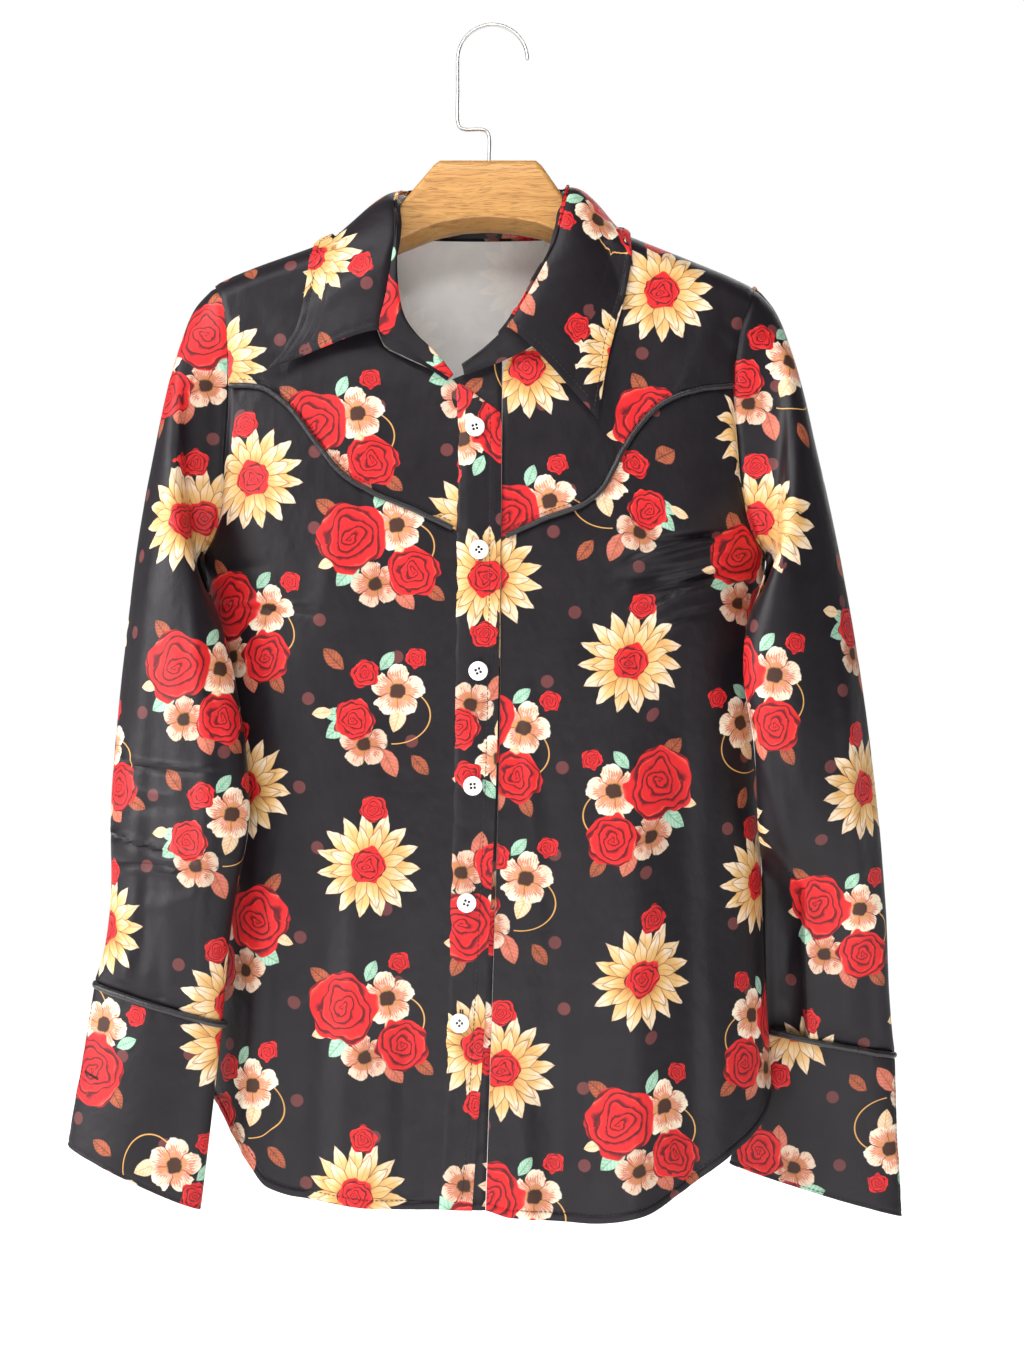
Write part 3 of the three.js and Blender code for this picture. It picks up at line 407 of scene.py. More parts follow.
def panelGrid(panel):
    # columns crowd towards side folds, rows towards the top by `crowd`
    even = np.linspace(0, 1, panel["columns"] + 1)
    shares = {
        "none": even, "last": np.sin(even * math.pi / 2), "both": (1 - np.cos(even * math.pi)) / 2,
    }[panel.get("turn", "none")]
    down = crowded(panel["rows"], panel.get("crowd", 1), panel.get("dense", ()))[:, None]
    share = np.broadcast_to(shares[None, :], (len(down), len(shares)))
    down = np.broadcast_to(down, share.shape)
    z = lerp(-198.0, -810.0, down)
    x = np.zeros_like(z)
    for _ in range(40):
        x = lerp(panel["first"](z), panel["last"](z), share)
        z = lerp(z, lerp(panel["top"](x), panel["foot"](x), down), 0.7)
    return np.stack([x, panel["face"](x, z), z], -1)


def laidFlat(grid, uv, step=4, rounds=500):
    # moves the print's points until the lengths between them are those of the piece laid flat: every
    # `step` rows and columns are eased in turn, and the ones between follow them
    rows, columns = (np.unique(np.append(np.arange(0, size, step), size - 1)) for size in grid.shape[:2])
    points, flat = grid[np.ix_(rows, columns)], uv[np.ix_(rows, columns)].copy()
    links = []
    for down, over in ((1, 0), (0, 1), (1, 1), (1, -1)):
        a = (slice(0, len(rows) - down), slice(1 if over < 0 else 0, len(columns) - max(over, 0)))
        b = (slice(down, None), slice(0, -1) if over < 0 else slice(over, None))
        links.append((a, b, np.linalg.norm(points[b] - points[a], axis=-1)))
    for _ in range(rounds):
        move, count = np.zeros_like(flat), np.zeros(flat.shape[:2])
        for a, b, length in links:
            apart = flat[b] - flat[a]
            now = np.maximum(np.linalg.norm(apart, axis=-1), 1e-6)
            pull = apart * ((now - length) / now)[..., None] / 2
            move[a] += pull
            move[b] -= pull
            count[a] += 1
            count[b] += 1
        flat += move / count[..., None] * 1.3
    change = flat - uv[np.ix_(rows, columns)]
    for axis, known in ((1, columns), (0, rows)):
        every = np.arange(grid.shape[axis])
        change = np.apply_along_axis(lambda line: np.interp(every, known, line), axis, change)
    return uv + change


def turned(u, v, place):
    # lays a piece on the printed length, turned and moved
    turn = math.radians(place["turn"])
    return np.stack([
        u * math.cos(turn) - v * math.sin(turn) + place["u"],
        u * math.sin(turn) + v * math.cos(turn) + place["v"]], -1)


def panelUv(grid, place):
    # the cloth's own two ways, as the piece was laid on the printed length
    sign = 1 if grid[0, -1, 0] > grid[0, 0, 0] else -1
    start = grid.shape[1] // 2 if place.get("fromMiddle") else 0
    across = clothLengths(grid * (1, 1, 0), 1)
    u = grid[:, start:start + 1, 0] + sign * (across - across[:, start:start + 1])
    # down the cloth both ways from one level
    down = clothLengths(grid * (0, 1, 1), 0)
    level = place.get("level", grid[..., 2].mean())
    index = np.argmin(np.abs(grid[..., 2] - level), axis=0)
    columns = np.arange(grid.shape[1])
    v = (grid[index, columns, 2] + down[index, columns])[None, :] - down
    return turned(u, v, place)


class Signal:
    # what one node hands to the next; sums, products and powers of it lay Math nodes
    def __init__(self, socket):
        self.socket, self.tree = socket, socket.id_data

    def __add__(self, other):
        return mathNode("ADD", self, other)

    def __sub__(self, other):
        return mathNode("SUBTRACT", self, other)

    def __rsub__(self, other):
        return mathNode("SUBTRACT", other, self)

    def __mul__(self, other):
        return mathNode("MULTIPLY", self, other)

    def __truediv__(self, other):
        return mathNode("DIVIDE", self, other)

    def __mod__(self, other):
        return mathNode("FLOORED_MODULO", self, other)

    def __pow__(self, other):
        return mathNode("POWER", self, other)

    def __gt__(self, other):
        return mathNode("GREATER_THAN", self, other)

    def __abs__(self):
        return mathNode("ABSOLUTE", self)


def feed(value, socket):
    if isinstance(value, Signal):
        value.tree.links.new(value.socket, socket)
    else:
        socket.default_value = value


def newNode(kind, inputs, **settings):
    # a node with its inputs fed, in the tree that the signals among them run through
    tree = next(value.tree for value in inputs.values() if isinstance(value, Signal))
    node = tree.nodes.new(kind)
    for name, value in settings.items():
        setattr(node, name, value)
    for name, value in inputs.items():
        feed(value, node.inputs[name])
    return node


def laid(kind, inputs, output=0, **settings):
    return Signal(newNode(kind, inputs, **settings).outputs[output])


def mathNode(operation, *values, clamp=False):
    return laid("ShaderNodeMath", dict(enumerate(values)), operation=operation, use_clamp=clamp)


def vectorNode(operation, first, second=None):
    inputs = {0: first}
    if second is not None:
        inputs["Scale" if operation == "SCALE" else 1] = second
    output = "Value" if operation == "LENGTH" else "Vector"
    return laid("ShaderNodeVectorMath", inputs, output, operation=operation)


def joinVector(x, y, z=0.0):
    return laid("ShaderNodeCombineXYZ", {"X": x, "Y": y, "Z": z})


def splitVector(vector):
    return tuple(Signal(socket) for socket in newNode("ShaderNodeSeparateXYZ", {0: vector}).outputs)


def polar(x, y):
    return vectorNode("LENGTH", joinVector(x, y)), mathNode("ARCTAN2", y, x)


def mixColour(mask, low, high, blend="MIX"):
    inputs = {"Factor": mask, "A": low, "B": high}
    return laid("ShaderNodeMix", inputs, "Result", data_type="RGBA", blend_type=blend)


def noiseNode(vector, scale, detail=2.0, kind="Fac"):
    return laid("ShaderNodeTexNoise", {"Vector": vector, "Scale": scale, "Detail": detail}, kind)


def softEdge(inside, width):
    # 1 where `inside` is well over 0, with a soft printed edge
    return mathNode("MULTIPLY_ADD", inside, 1 / width, 0.5, clamp=True)


def between(share, low, high):
    return share * (high - low) + low


def bumpNormal(height, distance):
    return laid("ShaderNodeBump", {"Strength": 1.0, "Distance": distance, "Height": height}, "Normal")


def rampNode(value, *stops):
    # stops of (place, colour), in the order of their places
    node = newNode("ShaderNodeValToRGB", {"Fac": value})
    ends = node.color_ramp.elements
    for end, (place, ink) in ((ends[1], stops[-1]), (ends[0], stops[0])):
        end.position, end.color = place, colour(ink)
    for place, ink in stops[1:-1]:
        ends.new(place).color = colour(ink)
    return Signal(node.outputs["Color"])


# printed inks, each channel from 0 to 255 as a screen shows it
inks = {
    "ground": (22, 17, 22), "dot": (96, 50, 50), "red": (203, 32, 36), "scarlet": (228, 62, 52),
    "crimson": (120, 18, 26), "wine": (74, 16, 22), "gold": (216, 174, 112), "tan": (200, 148, 84),
    "cream": (228, 206, 178), "ivory": (238, 226, 208), "mint": (172, 208, 184),
    "leafGreen": (96, 140, 112), "brown": (146, 74, 48), "umber": (66, 40, 30), "pink": (204, 118, 100),
    "rust": (178, 92, 62), "ghost": (246, 243, 240), "thread": (22, 20, 23),
}


def linear(channel):
    channel = channel / 255
    return channel / 12.92 if channel <= 0.04045 else ((channel + 0.055) / 1.055) ** 2.4


def colour(ink):
    # an ink by its name, or a tone that is already one of light
    return (tuple(linear(channel) for channel in inks[ink]) if ink in inks else ink) + (1.0,)


vectorIn = ("Vector", "NodeSocketVector")
seedIn = ("Seed", "NodeSocketFloat")
maskOut = ("Mask", "NodeSocketFloat")
colourOut = ("Color", "NodeSocketColor")


def newGroup(name, inputs, outputs):
    # gives the group, the signals that come in and the sockets that wait for what goes out
    tree = bpy.data.node_groups.new(name, "ShaderNodeTree")
    for way, sockets in (("INPUT", inputs), ("OUTPUT", outputs)):
        for label, kind in sockets:
            tree.interface.new_socket(name=label, in_out=way, socket_type=kind)
    given = tree.nodes.new("NodeGroupInput").outputs
    made = tree.nodes.new("NodeGroupOutput").inputs
    return tree, [Signal(given[label]) for label, kind in inputs], made


def useGroup(group, **values):
    return [Signal(socket) for socket in newNode("ShaderNodeGroup", values, node_tree=group).outputs]


def roseGroup():
    # a full rose seen from above, of unit radius: petals wind in towards the heart
    group, (place, seed), made = newGroup("printed rose", [vectorIn, seedIn], [maskOut, colourOut])
    warp = noiseNode(vectorNode("ADD", place, joinVector(seed, seed, seed)), 1.7, 1.0, "Color")
    warp = vectorNode("SCALE", vectorNode("SUBTRACT", warp, (0.5, 0.5, 0.5)), 0.42)
    x, y, _ = splitVector(vectorNode("ADD", place, warp))
    r, angle = polar(x, y)
    turn = angle / (2 * math.pi)
    outline = mathNode("COSINE", angle * 5 + seed) * 0.06 + 0.88
    # one winding of the spiral is one ring of petals
    swirl = mathNode("COSINE", r * 8.5 + angle * 3)
    spiral = swirl * 0.2 + (r ** 0.7 * 5.2 + turn)
    petals = mathNode("FRACT", turn * 3 + mathNode("FLOOR", spiral) * 0.37)
    curl = mathNode("FRACT", spiral) - abs(petals - 0.5) * 0.5
    fold = softEdge(0.1 - abs(curl - 0.04), 0.1)
    strokes = noiseNode(joinVector(turn * 26, spiral, seed), 1.0, 2.0)
    shade = (strokes - 0.5) * 0.55 + mathNode("MAXIMUM", curl, 0.0) ** 1.4
    deep = mathNode("MULTIPLY_ADD", r, 0.45, 0.6, clamp=True)
    shade = mathNode("MULTIPLY", shade, deep, clamp=True)
    ink = rampNode(shade, (0.0, "crimson"), (0.2, "red"), (0.62, "red"), (0.86, "scarlet"), (1.0, "pink"))
    feed(softEdge(outline - r, 0.03), made["Mask"])
    feed(mixColour(fold * 0.75, ink, colour("wine")), made["Color"])
    return group


def goldFlowerGroup():
    # a many-petalled gold flower, of unit radius: a ring of long petals under one of short ones
    group, (place, seed), made = newGroup("printed gold flower", [vectorIn, seedIn], [maskOut, colourOut])
    x, y, _ = splitVector(place)
    r, angle = polar(x, y)
    noise = noiseNode(vectorNode("ADD", joinVector(x, y), joinVector(seed, 0.0, seed)), 2.6, 2.0)
    rings = []
    for count, outer, offset in ((15, 1.0, 0.0), (12, 0.74, 0.4)):
        side = abs(mathNode("FRACT", angle * (count / (2 * math.pi)) + offset) - 0.5)
        reach = (noise - 0.5) * 0.3 + (side * -0.68 + (outer + 0.06))
        gap = softEdge(side - 0.455, 0.04)
        vein = softEdge(0.03 - side, 0.05)
        lift = mathNode("MULTIPLY_ADD", noise - 0.5, 0.8, r / outer, clamp=True)
        ink = rampNode(lift, (0.25, "brown"), (0.45, "tan"), (0.7, "gold"), (1.0, "cream"))
        ink = mixColour(mathNode("MAXIMUM", gap * 0.8, vein * 0.45), ink, colour("brown"))
        rings.append((reach, softEdge(reach - r, 0.03), ink))
    (_, longMask, longInk), (reach, shortMask, shortInk) = rings
    shadow = softEdge(reach + 0.04 - r, 0.03) * 0.6
    longInk = mixColour(shadow, longInk, colour("umber"))
    feed(longMask, made["Mask"])
    feed(mixColour(shortMask, longInk, shortInk), made["Color"])
    return group


def blossomGroup():
    # an open pale blossom with five rounded petals and a freckled throat, of unit radius
    group, (place, seed), made = newGroup("printed pale blossom", [vectorIn, seedIn], [maskOut, colourOut])
    noise = noiseNode(vectorNode("ADD", place, joinVector(seed, seed, 0.0)), 3.0, 3.0)
    x, y, _ = splitVector(place)
    r, angle = polar(x, y)
    angle = noise * 0.5 + angle
    side = abs(mathNode("FRACT", angle * (5 / (2 * math.pi)) + seed) - 0.5)
    roundness = mathNode("SQRT", mathNode("MAXIMUM", 1 - (side * 2) ** 2, 0.0))
    reach = (noise - 0.5) * 0.3 + (roundness * 0.4 + 0.52)
    lift = mathNode("SINE", angle * 46) * 0.07 + (noise * 0.7 + r * 0.55)
    ink = rampNode(lift, (0.3, "brown"), (0.46, "tan"), (0.6, "pink"), (0.74, "cream"), (0.96, "ivory"))
    ink = mixColour(softEdge(side - 0.46, 0.04) * 0.8, ink, colour("brown"))
    throat = softEdge(noise * 0.3 + 0.12 - r, 0.06)
    feed(softEdge(reach - r, 0.04), made["Mask"])
    feed(mixColour(throat, ink, colour("umber")), made["Color"])
    return group


def leafGroup():
    # a leaf from (0, 0) to (1, 0), about half as wide as long
    tones = [("Pale", "NodeSocketColor"), ("Deep", "NodeSocketColor")]
    group, (place, pale, deep), made = newGroup("printed leaf", [vectorIn] + tones, [maskOut, colourOut])
    x, y, _ = splitVector(place)
    off = abs(y)
    noise = noiseNode(place, 4.0, 2.0)
    halfWidth = (noise - 0.5) * 0.1 + x * (1 - x) * 1.05
    ribs = mathNode("SINE", (x - off * 0.9) * 44)
    ink = mixColour(mathNode("MULTIPLY_ADD", ribs, 0.16, noise * 0.9 - 0.1, clamp=True), pale, deep)
    midrib = softEdge(0.02 - off, 0.02)
    feed(softEdge(halfWidth - off, 0.03), made["Mask"])
    feed(mixColour(midrib * 0.7, ink, deep), made["Color"])
    return group


# the print in mm: how far apart bunches and spots stand, how far they stray, and a bunch's leaves,
# each with its length, its place, its turn and its pale ink
printing = dict(
    across=92.0, down=104.0, strayAcross=8, strayDown=12, lean=0.6, mirrorShare=0.12,
    dotsAcross=60.0, dotsDown=52.0, dotStrayAcross=22, dotStrayDown=18, dotSize=4.2,
    tendril=24, tendrilWidth=0.45,
    leaves=[(23, (-12, -4), 3.75, "mint"), (17, (-15, -2), 3.15, "mint"), (20, (20, 4), -1.9, "cream"),
            (15, (6, 26), 0.9, "mint"), (21, (6, -25), -1.15, "pink"), (19, (-18, 27), 2.3, "rust"),
            (17, (25, -30), -0.9, "rust"), (14, (-26, 0), 3.3, "cream")],
    deepInks={"mint": "leafGreen", "cream": "tan", "pink": "brown", "rust": "umber"})


def printGroup():
    # flowers scattered over a spotted ground; the vector is the cloth's own place in metres
    group, (cloth,), made = newGroup("satin print", [vectorIn], [colourOut, maskOut])
    rose, goldFlower, blossom, leaf = roseGroup(), goldFlowerGroup(), blossomGroup(), leafGroup()
    u, v, _ = splitVector(vectorNode("SCALE", cloth, 1000.0))

    def lattice(across, down, offset):
        # the cell of a half-drop lattice, the place in it and the three chances that it draws
        column = mathNode("FLOOR", u / across)
        drop = column % 2 * (down / 2) + v + offset
        row = mathNode("FLOOR", drop / down)
        x, y = u - (column + 0.5) * across, drop - (row + 0.5) * down
        chance = laid("ShaderNodeTexWhiteNoise", {"Vector": joinVector(column, row, offset)}, "Color")
        return (column, row, x, y) + splitVector(vectorNode("SUBTRACT", chance, (0.5, 0.5, 0.5)))

    column, row, x, y, r, g, b = lattice(printing["across"], printing["down"], 0.0)
    x, y = x - r * printing["strayAcross"], y - g * printing["strayDown"]
    lean = b * printing["lean"]
    cosLean, sinLean = mathNode("COSINE", lean), mathNode("SINE", lean)
    x, y = x * cosLean - y * sinLean, x * sinLean + y * cosLean
    x = x * ((r > printing["mirrorShare"]) * -2 + 1)
    # five kinds of cell: three bunches, of which the last is a small spray, and two gold flowers
    kind = (column * 2 + row) % 5
    gold = mathNode("ROUND", kind % 2)
    spray = kind > 3.5
    bunch = 1 - gold
    seed = kind * 1.7

    def pick(inBunch, inGold, inSpray):
        return spray * (inSpray - inBunch) + (gold * (inGold - inBunch) + inBunch)

    def motif(flower, size, at, turn, **more):
        # size and place may be signals, as the same flower stands elsewhere in another bunch
        dx, dy = x - at[0], y - at[1]
        c, s = math.cos(turn), math.sin(turn)
        inside = joinVector((dx * c + dy * s) / size, (dy * c - dx * s) / size)
        return useGroup(flower, Vector=inside, **more)

    _, _, dotX, dotY, dotR, dotG, _ = lattice(printing["dotsAcross"], printing["dotsDown"], 21.0)
    dotX, dotY = dotX - dotR * printing["dotStrayAcross"], dotY - dotG * printing["dotStrayDown"]
    dots = softEdge(printing["dotSize"] - vectorNode("LENGTH", joinVector(dotX, dotY)), 0.6)
    ink = mixColour(dots, colour("ground"), colour("dot"))
    covered = dots * 0.3

    def lay(mask, motifInk, where):
        nonlocal ink, covered
        part = mask * where
        ink = mixColour(part, ink, motifInk)
        covered = mathNode("MAXIMUM", covered, part)

    for size, at, turn, pale in printing["leaves"]:
        deep = printing["deepInks"][pale]
        lay(*motif(leaf, size, at, turn, Pale=colour(pale), Deep=colour(deep)), bunch)
    # a thin tendril round one side of each bunch
    ringOut = vectorNode("LENGTH", joinVector(x - 14, (y + 4) * 1.3))
    tendril = softEdge(printing["tendrilWidth"] - abs(ringOut - printing["tendril"]), 0.3)
    lay(tendril * (x > 12), colour("tan"), bunch)
    mask, fresh = motif(blossom, 17, (-6, -22), 0.4, Seed=0.35)
    faded = mixColour(0.6, fresh, colour("brown"), "MULTIPLY")
    lay(mask, mixColour(0.4, faded, fresh), bunch)
    lay(*motif(goldFlower, 33, (0, -3), 0.2, Seed=seed), gold)
    # the second rose, or the gold flower's heart
    lay(*motif(rose, pick(19, 13, 15), (pick(20, 0, -12), pick(-20, -3, -6)), 1.2, Seed=seed), 1.0)
    lay(*motif(blossom, 19, (17, 12), 1.1, Seed=0.0), bunch)
    # the large rose, or the bud that stands over a gold flower
    lay(*motif(rose, pick(26, 10, 10), (pick(-14, 2, -4), pick(12, 34, 24)), 0.0, Seed=seed + 3.1), 1.0)
    lay(*motif(rose, 7.5, (30, 33), 0.5, Seed=5.0), bunch)
    feed(ink, made["Color"])
    feed(covered, made["Mask"])
    return group


def weaveGroup():
    # the satin's floats: fine cords along the cloth, with slubs and slight unevenness
    group, (cloth,), made = newGroup(
        "satin weave", [vectorIn], [("Height", "NodeSocketFloat"), ("Tone", "NodeSocketFloat")])
    u, v, _ = splitVector(vectorNode("SCALE", cloth, 1000.0))

    def uneven(across, down, detail):
        return noiseNode(joinVector(u * across, v * down), 1.0, detail)

    floats = mathNode("SINE", (u + v * 0.35) * 9)
    cross = mathNode("SINE", v * 12)
    # worn cloth keeps a faint crumple all over
    crumple = uneven(0.045, 0.03, 2.0) * 34 + uneven(0.16, 0.12, 3.0) * 9
    feed(floats * 0.5 + cross * 0.3 + uneven(0.9, 0.12, 2.0) * 1.2 + crumple, made["Height"])
    feed(uneven(0.06, 0.05, 3.0), made["Tone"])
    return group


def newMaterial(name):
    material = bpy.data.materials.new(name)
    material.use_nodes = True
    tree = material.node_tree
    tree.nodes.clear()
    shader = tree.nodes.new("ShaderNodeBsdfPrincipled")
    output = tree.nodes.new("ShaderNodeOutputMaterial")
    tree.links.new(shader.outputs["BSDF"], output.inputs["Surface"])
    return material, tree, shader.inputs


def clothPlace(tree):
    node = tree.nodes.new("ShaderNodeUVMap")
    node.uv_map = "cloth"
    return Signal(node.outputs["UV"])


def objectPlace(tree):
    return Signal(tree.nodes.new("ShaderNodeTexCoord").outputs["Object"])


satinPrint = printGroup()
satinWeave = weaveGroup()
satin = dict(
    roughLow=0.38, roughHigh=0.5, inkRough=0.06, sheen=0.02, sheenRough=0.4, weaveDepth=0.00003,
    specular={"right": 0.26, "wrong": 0.25}, tones={"right": (0.78, 1.22), "wrong": (0.9, 1.1)}, ghost=0.9)


def printedSatin(face):
    material, tree, look = newMaterial("printed satin, " + face + " side")
    place = clothPlace(tree)
    base, inked = useGroup(satinPrint, Vector=place)
    height, tone = useGroup(satinWeave, Vector=place)
    if face == "wrong":
        # the ink shows through only faintly
        base = mixColour(satin["ghost"], base, colour("ghost"))
    value = between(tone, *satin["tones"][face])
    shade = laid("ShaderNodeHueSaturation", {"Value": value, "Color": base}, "Color")
    feed(shade, look["Base Color"])
    rough = between(tone, satin["roughLow"], satin["roughHigh"])
    feed(inked * satin["inkRough"] + rough, look["Roughness"])
    feed(bumpNormal(height, satin["weaveDepth"]), look["Normal"])
    look["Specular IOR Level"].default_value = satin["specular"][face]
    look["Sheen Weight"].default_value = satin["sheen"]
    look["Sheen Roughness"].default_value = satin["sheenRough"]
    return material


rightSide = printedSatin("right")
wrongSide = printedSatin("wrong")
print("printed cloth made")


def tuck(grid, uv, edge, reach, depth, inward, way=None):
    # the seam allowance: past its top or foot a piece turns in and runs on under its neighbour
    rim, behind = (0, 1) if edge == "top" else (-1, -2)
    inner = gridNormals(grid)[rim] * inward
    away = grid[rim] - grid[behind]
    step = np.linalg.norm(away, axis=-1, keepdims=True)
    step = np.where(step < 1e-6, 1, step)
    uvAway = (uv[rim] - uv[behind]) / step
    away = away / step if way is None else np.broadcast_to(np.array(way, float), away.shape)
    rows, uvRows = [], []
    for share, out in ((0.6, 0.2), (1.0, 1.0), (1.0, reach)):
        rows.append(grid[rim] + inner * depth * share + away * out)
        uvRows.append(uv[rim] + uvAway * (out + depth * share))
    if edge == "top":
        return np.concatenate([rows[::-1], grid]), np.concatenate([uvRows[::-1], uv])
    return np.concatenate([grid, rows]), np.concatenate([uv, uvRows])


def dress(piece, nodes, faced=False):
    piece.data.materials.append(rightSide)
    piece.data.materials.append(rightSide if faced else wrongSide)
    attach(piece, "root")
    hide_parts(*nodes)


stitchRuns = []


def stitchLine(points, normals, length=2.3, gap=0.9, radius=0.24, lift=0.05):
    # a row of machine stitches: short rounded threads lying along a path
    points, normals = np.asarray(points, float), np.asarray(normals, float)
    run = clothLengths(points, 0)
    count = int((run[-1] - gap) / (length + gap))
    if count < 1:
        return
    starts = gap / 2 + np.arange(count) * (run[-1] - gap) / count

    def at(where, values):
        return np.stack([np.interp(where, run, values[:, k]) for k in range(3)], -1)

    a, b = at(starts, points), at(starts + length, points)
    up = unit(at(starts + length / 2, normals))
    side = np.cross(unit(b - a), up)
    rings = []
    # its two ends are thin and dip into the cloth
    for share, swell, rise in ((0.0, 0.35, -0.25), (0.2, 0.95, 0.0), (0.8, 0.95, 0.0), (1.0, 0.35, -0.25)):
        middle = a + (b - a) * share + up * (lift + rise + radius)
        for c, s in ((1, 0), (0, 1), (-1, 0), (0, -1)):
            rings.append(middle + side * c * radius * swell + up * s * radius * swell)
    stitchRuns.append(np.stack(rings, 1))


def tubeFaces(rings, sides, start=0):
    # the faces between rings of points that follow one another
    faces = []
    for first in range(start, start + (rings - 1) * sides, sides):
        for i in range(sides):
            j = (i + 1) % sides
            faces.append((first + i, first + j, first + sides + j, first + sides + i))
    return faces


def stitchMesh(name):
    points = np.concatenate(stitchRuns)
    faces = []
    for start in range(0, len(points) * 16, 16):
        faces += tubeFaces(4, 4, start)
        faces += [(start + 3, start + 2, start + 1, start), tuple(range(start + 12, start + 16))]
    return newMesh(name, points.reshape(-1, 3), faces)


# where the cloth strains from the underarm, hangs from the yokes and was folded when packed
frontCreases = table(
    "x z toX toZ bow width rise grow fade lean",
    (178, -344, 76, -368, 3, 2.6, 3.6, 0.15, 0.4, 0.9),
    (170, -356, 70, -376, -4, 3.4, -2.6, 0.15, 0.4, 0.4),
    (152, -349, 92, -356, 2, 1.9, 1.7, 0.3, 0.4, 0.9), (182, -372, 84, -392, 3, 2.6, 3.6, 0.1, 0.4, 0.9),
    (162, -364, 100, -385, -2, 2.0, -2.0, 0.25, 0.4, 0.6),
    (176, -386, 112, -401, -2, 3.0, -2.2, 0.2, 0.4, 0.5),
    (142, -377, 102, -398, 2, 1.7, 1.4, 0.3, 0.3, 0.9), (136, -398, 96, -410, -2, 1.8, 1.3, 0.3, 0.4, 0.8),
    (88, -404, 74, -470, -3, 5.0, 1.3, 0.3, 0.5, 0.3),
    (96, -350, 58, -440, 6, 9.0, -2.2, 0.3, 0.4, 0), (120, -372, 96, -470, -4, 11.0, 1.8, 0.4, 0.5, 0),
    (24, -430, 28, -560, 2, 4.0, 1.4, 0.3, 0.4, 0.4), (34, -470, 40, -640, -3, 9.0, -1.6, 0.4, 0.4, 0),
    (60, -560, 66, -790, 4, 11.0, 1.8, 0.5, 0.1, 0), (112, -500, 118, -780, -5, 10.0, 1.6, 0.5, 0.1, 0),
    (152, -440, 158, -700, 4, 9.0, -2.0, 0.4, 0.3, 0), (20, -700, 26, -800, 1, 6.0, 1.2, 0.4, 0.05, 0),
    (-188, -387, -110, -391, 2, 1.9, 2.1, 0.2, 0.4, 0.9),
    (-190, -372, -140, -366, -2, 4.0, -1.4, 0.2, 0.5, 0),
    (-150, -391, -104, -396, 1, 1.6, 1.3, 0.2, 0.4, 0.9),
    (-186, -404, -150, -420, 2, 5.0, -1.3, 0.2, 0.6, 0),
    (-100, -330, -128, -450, -5, 10.0, 1.7, 0.4, 0.5, 0),
    (-60, -345, -66, -520, 3, 10.0, -1.8, 0.4, 0.4, 0),
    (-136, -480, -142, -760, 4, 8.0, 1.8, 0.4, 0.1, 0.2),
    (-96, -560, -104, -785, -4, 9.0, 1.6, 0.5, 0.05, 0), (-50, -600, -56, -785, 3, 8.0, -1.5, 0.5, 0.05, 0),
    (-165, -560, -172, -730, -3, 6.0, -1.6, 0.4, 0.1, 0),
    # the yokes: a drape from each shoulder and pulls above the seams
    (-160, -185, -128, -250, 4, 9.0, -1.3, 0.3, 0.3, 0),
    (-110, -195, -84, -300, -5, 12.0, 1.4, 0.4, 0.3, 0),
    (148, -190, 118, -262, -4, 9.0, 1.3, 0.3, 0.3, 0), (112, -240, 80, -300, 3, 8.0, -1.2, 0.3, 0.3, 0),
    (60, -290, 26, -330, 2, 7.0, 1.0, 0.3, 0.3, 0))
backCreases = table(
    "x z toX toZ bow width rise grow fade lean",
    (-186, -352, -90, -382, -3, 5.0, 2.2, 0.15, 0.5, 0.4),
    (-184, -368, -104, -408, 4, 6.0, -1.8, 0.15, 0.5, 0),
    (178, -350, 70, -376, 4, 5.0, 2.3, 0.15, 0.5, 0.4), (176, -370, 84, -412, -3, 6.0, -1.7, 0.2, 0.5, 0),
    (-60, -180, -40, -330, 4, 12.0, 1.8, 0.4, 0.5, 0), (52, -176, 34, -320, -4, 12.0, -1.7, 0.4, 0.5, 0),
    (-118, -420, -128, -700, 5, 9.0, 1.7, 0.4, 0.3, 0), (-52, -460, -60, -785, -4, 10.0, 1.8, 0.4, 0.1, 0),
    (8, -500, 2, -785, 3, 9.0, -1.6, 0.5, 0.1, 0), (66, -430, 74, -785, 4, 11.0, 1.8, 0.4, 0.1, 0),
    (132, -480, 146, -740, -4, 9.0, -1.8, 0.4, 0.2, 0), (-20, -200, 14, -212, 2, 5.0, -1.0, 0.3, 0.3, 0),
    (-156, -600, -160, -745, 3, 7.0, 1.4, 0.4, 0.1, 0))


def liveliness(x, z, seed):
    # the soft unevenness that no cloth is without
    broad = softNoise(x / 46, z / 95, seed) * 0.9 + softNoise(x / 21, z / 52, seed + 3) * 0.4
    return broad + softNoise(x / 9, z / 15, seed + 7) * 0.1


def frontFace(x, z):
    more = creaseRise(frontCreases, x, z) + liveliness(x, z, 1.0)
    return frontY(x, z) - fullness(x, z) * more


def backFace(x, z):
    more = creaseRise(backCreases, x, z) + liveliness(x, z, 2.0)
    return backY(x, z) + fullness(x, z) * more


def faceNormal(x, z, face=frontFace):
    step = 1.2
    slopeX = (face(x + step, z) - face(x - step, z)) / (2 * step)
    slopeZ = (face(x, z + step) - face(x, z - step)) / (2 * step)
    return unit(np.stack([slopeX, -np.ones_like(slopeX), slopeZ], -1))


def onFront(x, z):
    return np.stack([x, frontFace(x, z), z], -1)


halfGap = cloth["gap"] / 2
# the back's tail is the shorter one, but shows past the front's near the left side
tail = dict(short=5, drop=7, dropAt=176, dropReach=16)
neckSides = (backNeckRows[0]["x"], backNeckRows[-1]["x"])


def backTop(x):
    return np.where((x > neckSides[0]) & (x < neckSides[1]), backNeck(x), ridge(x))


def backHem(x):
    return hem(x) + tail["short"] - tail["drop"] * bell(x - tail["dropAt"], tail["dropReach"])


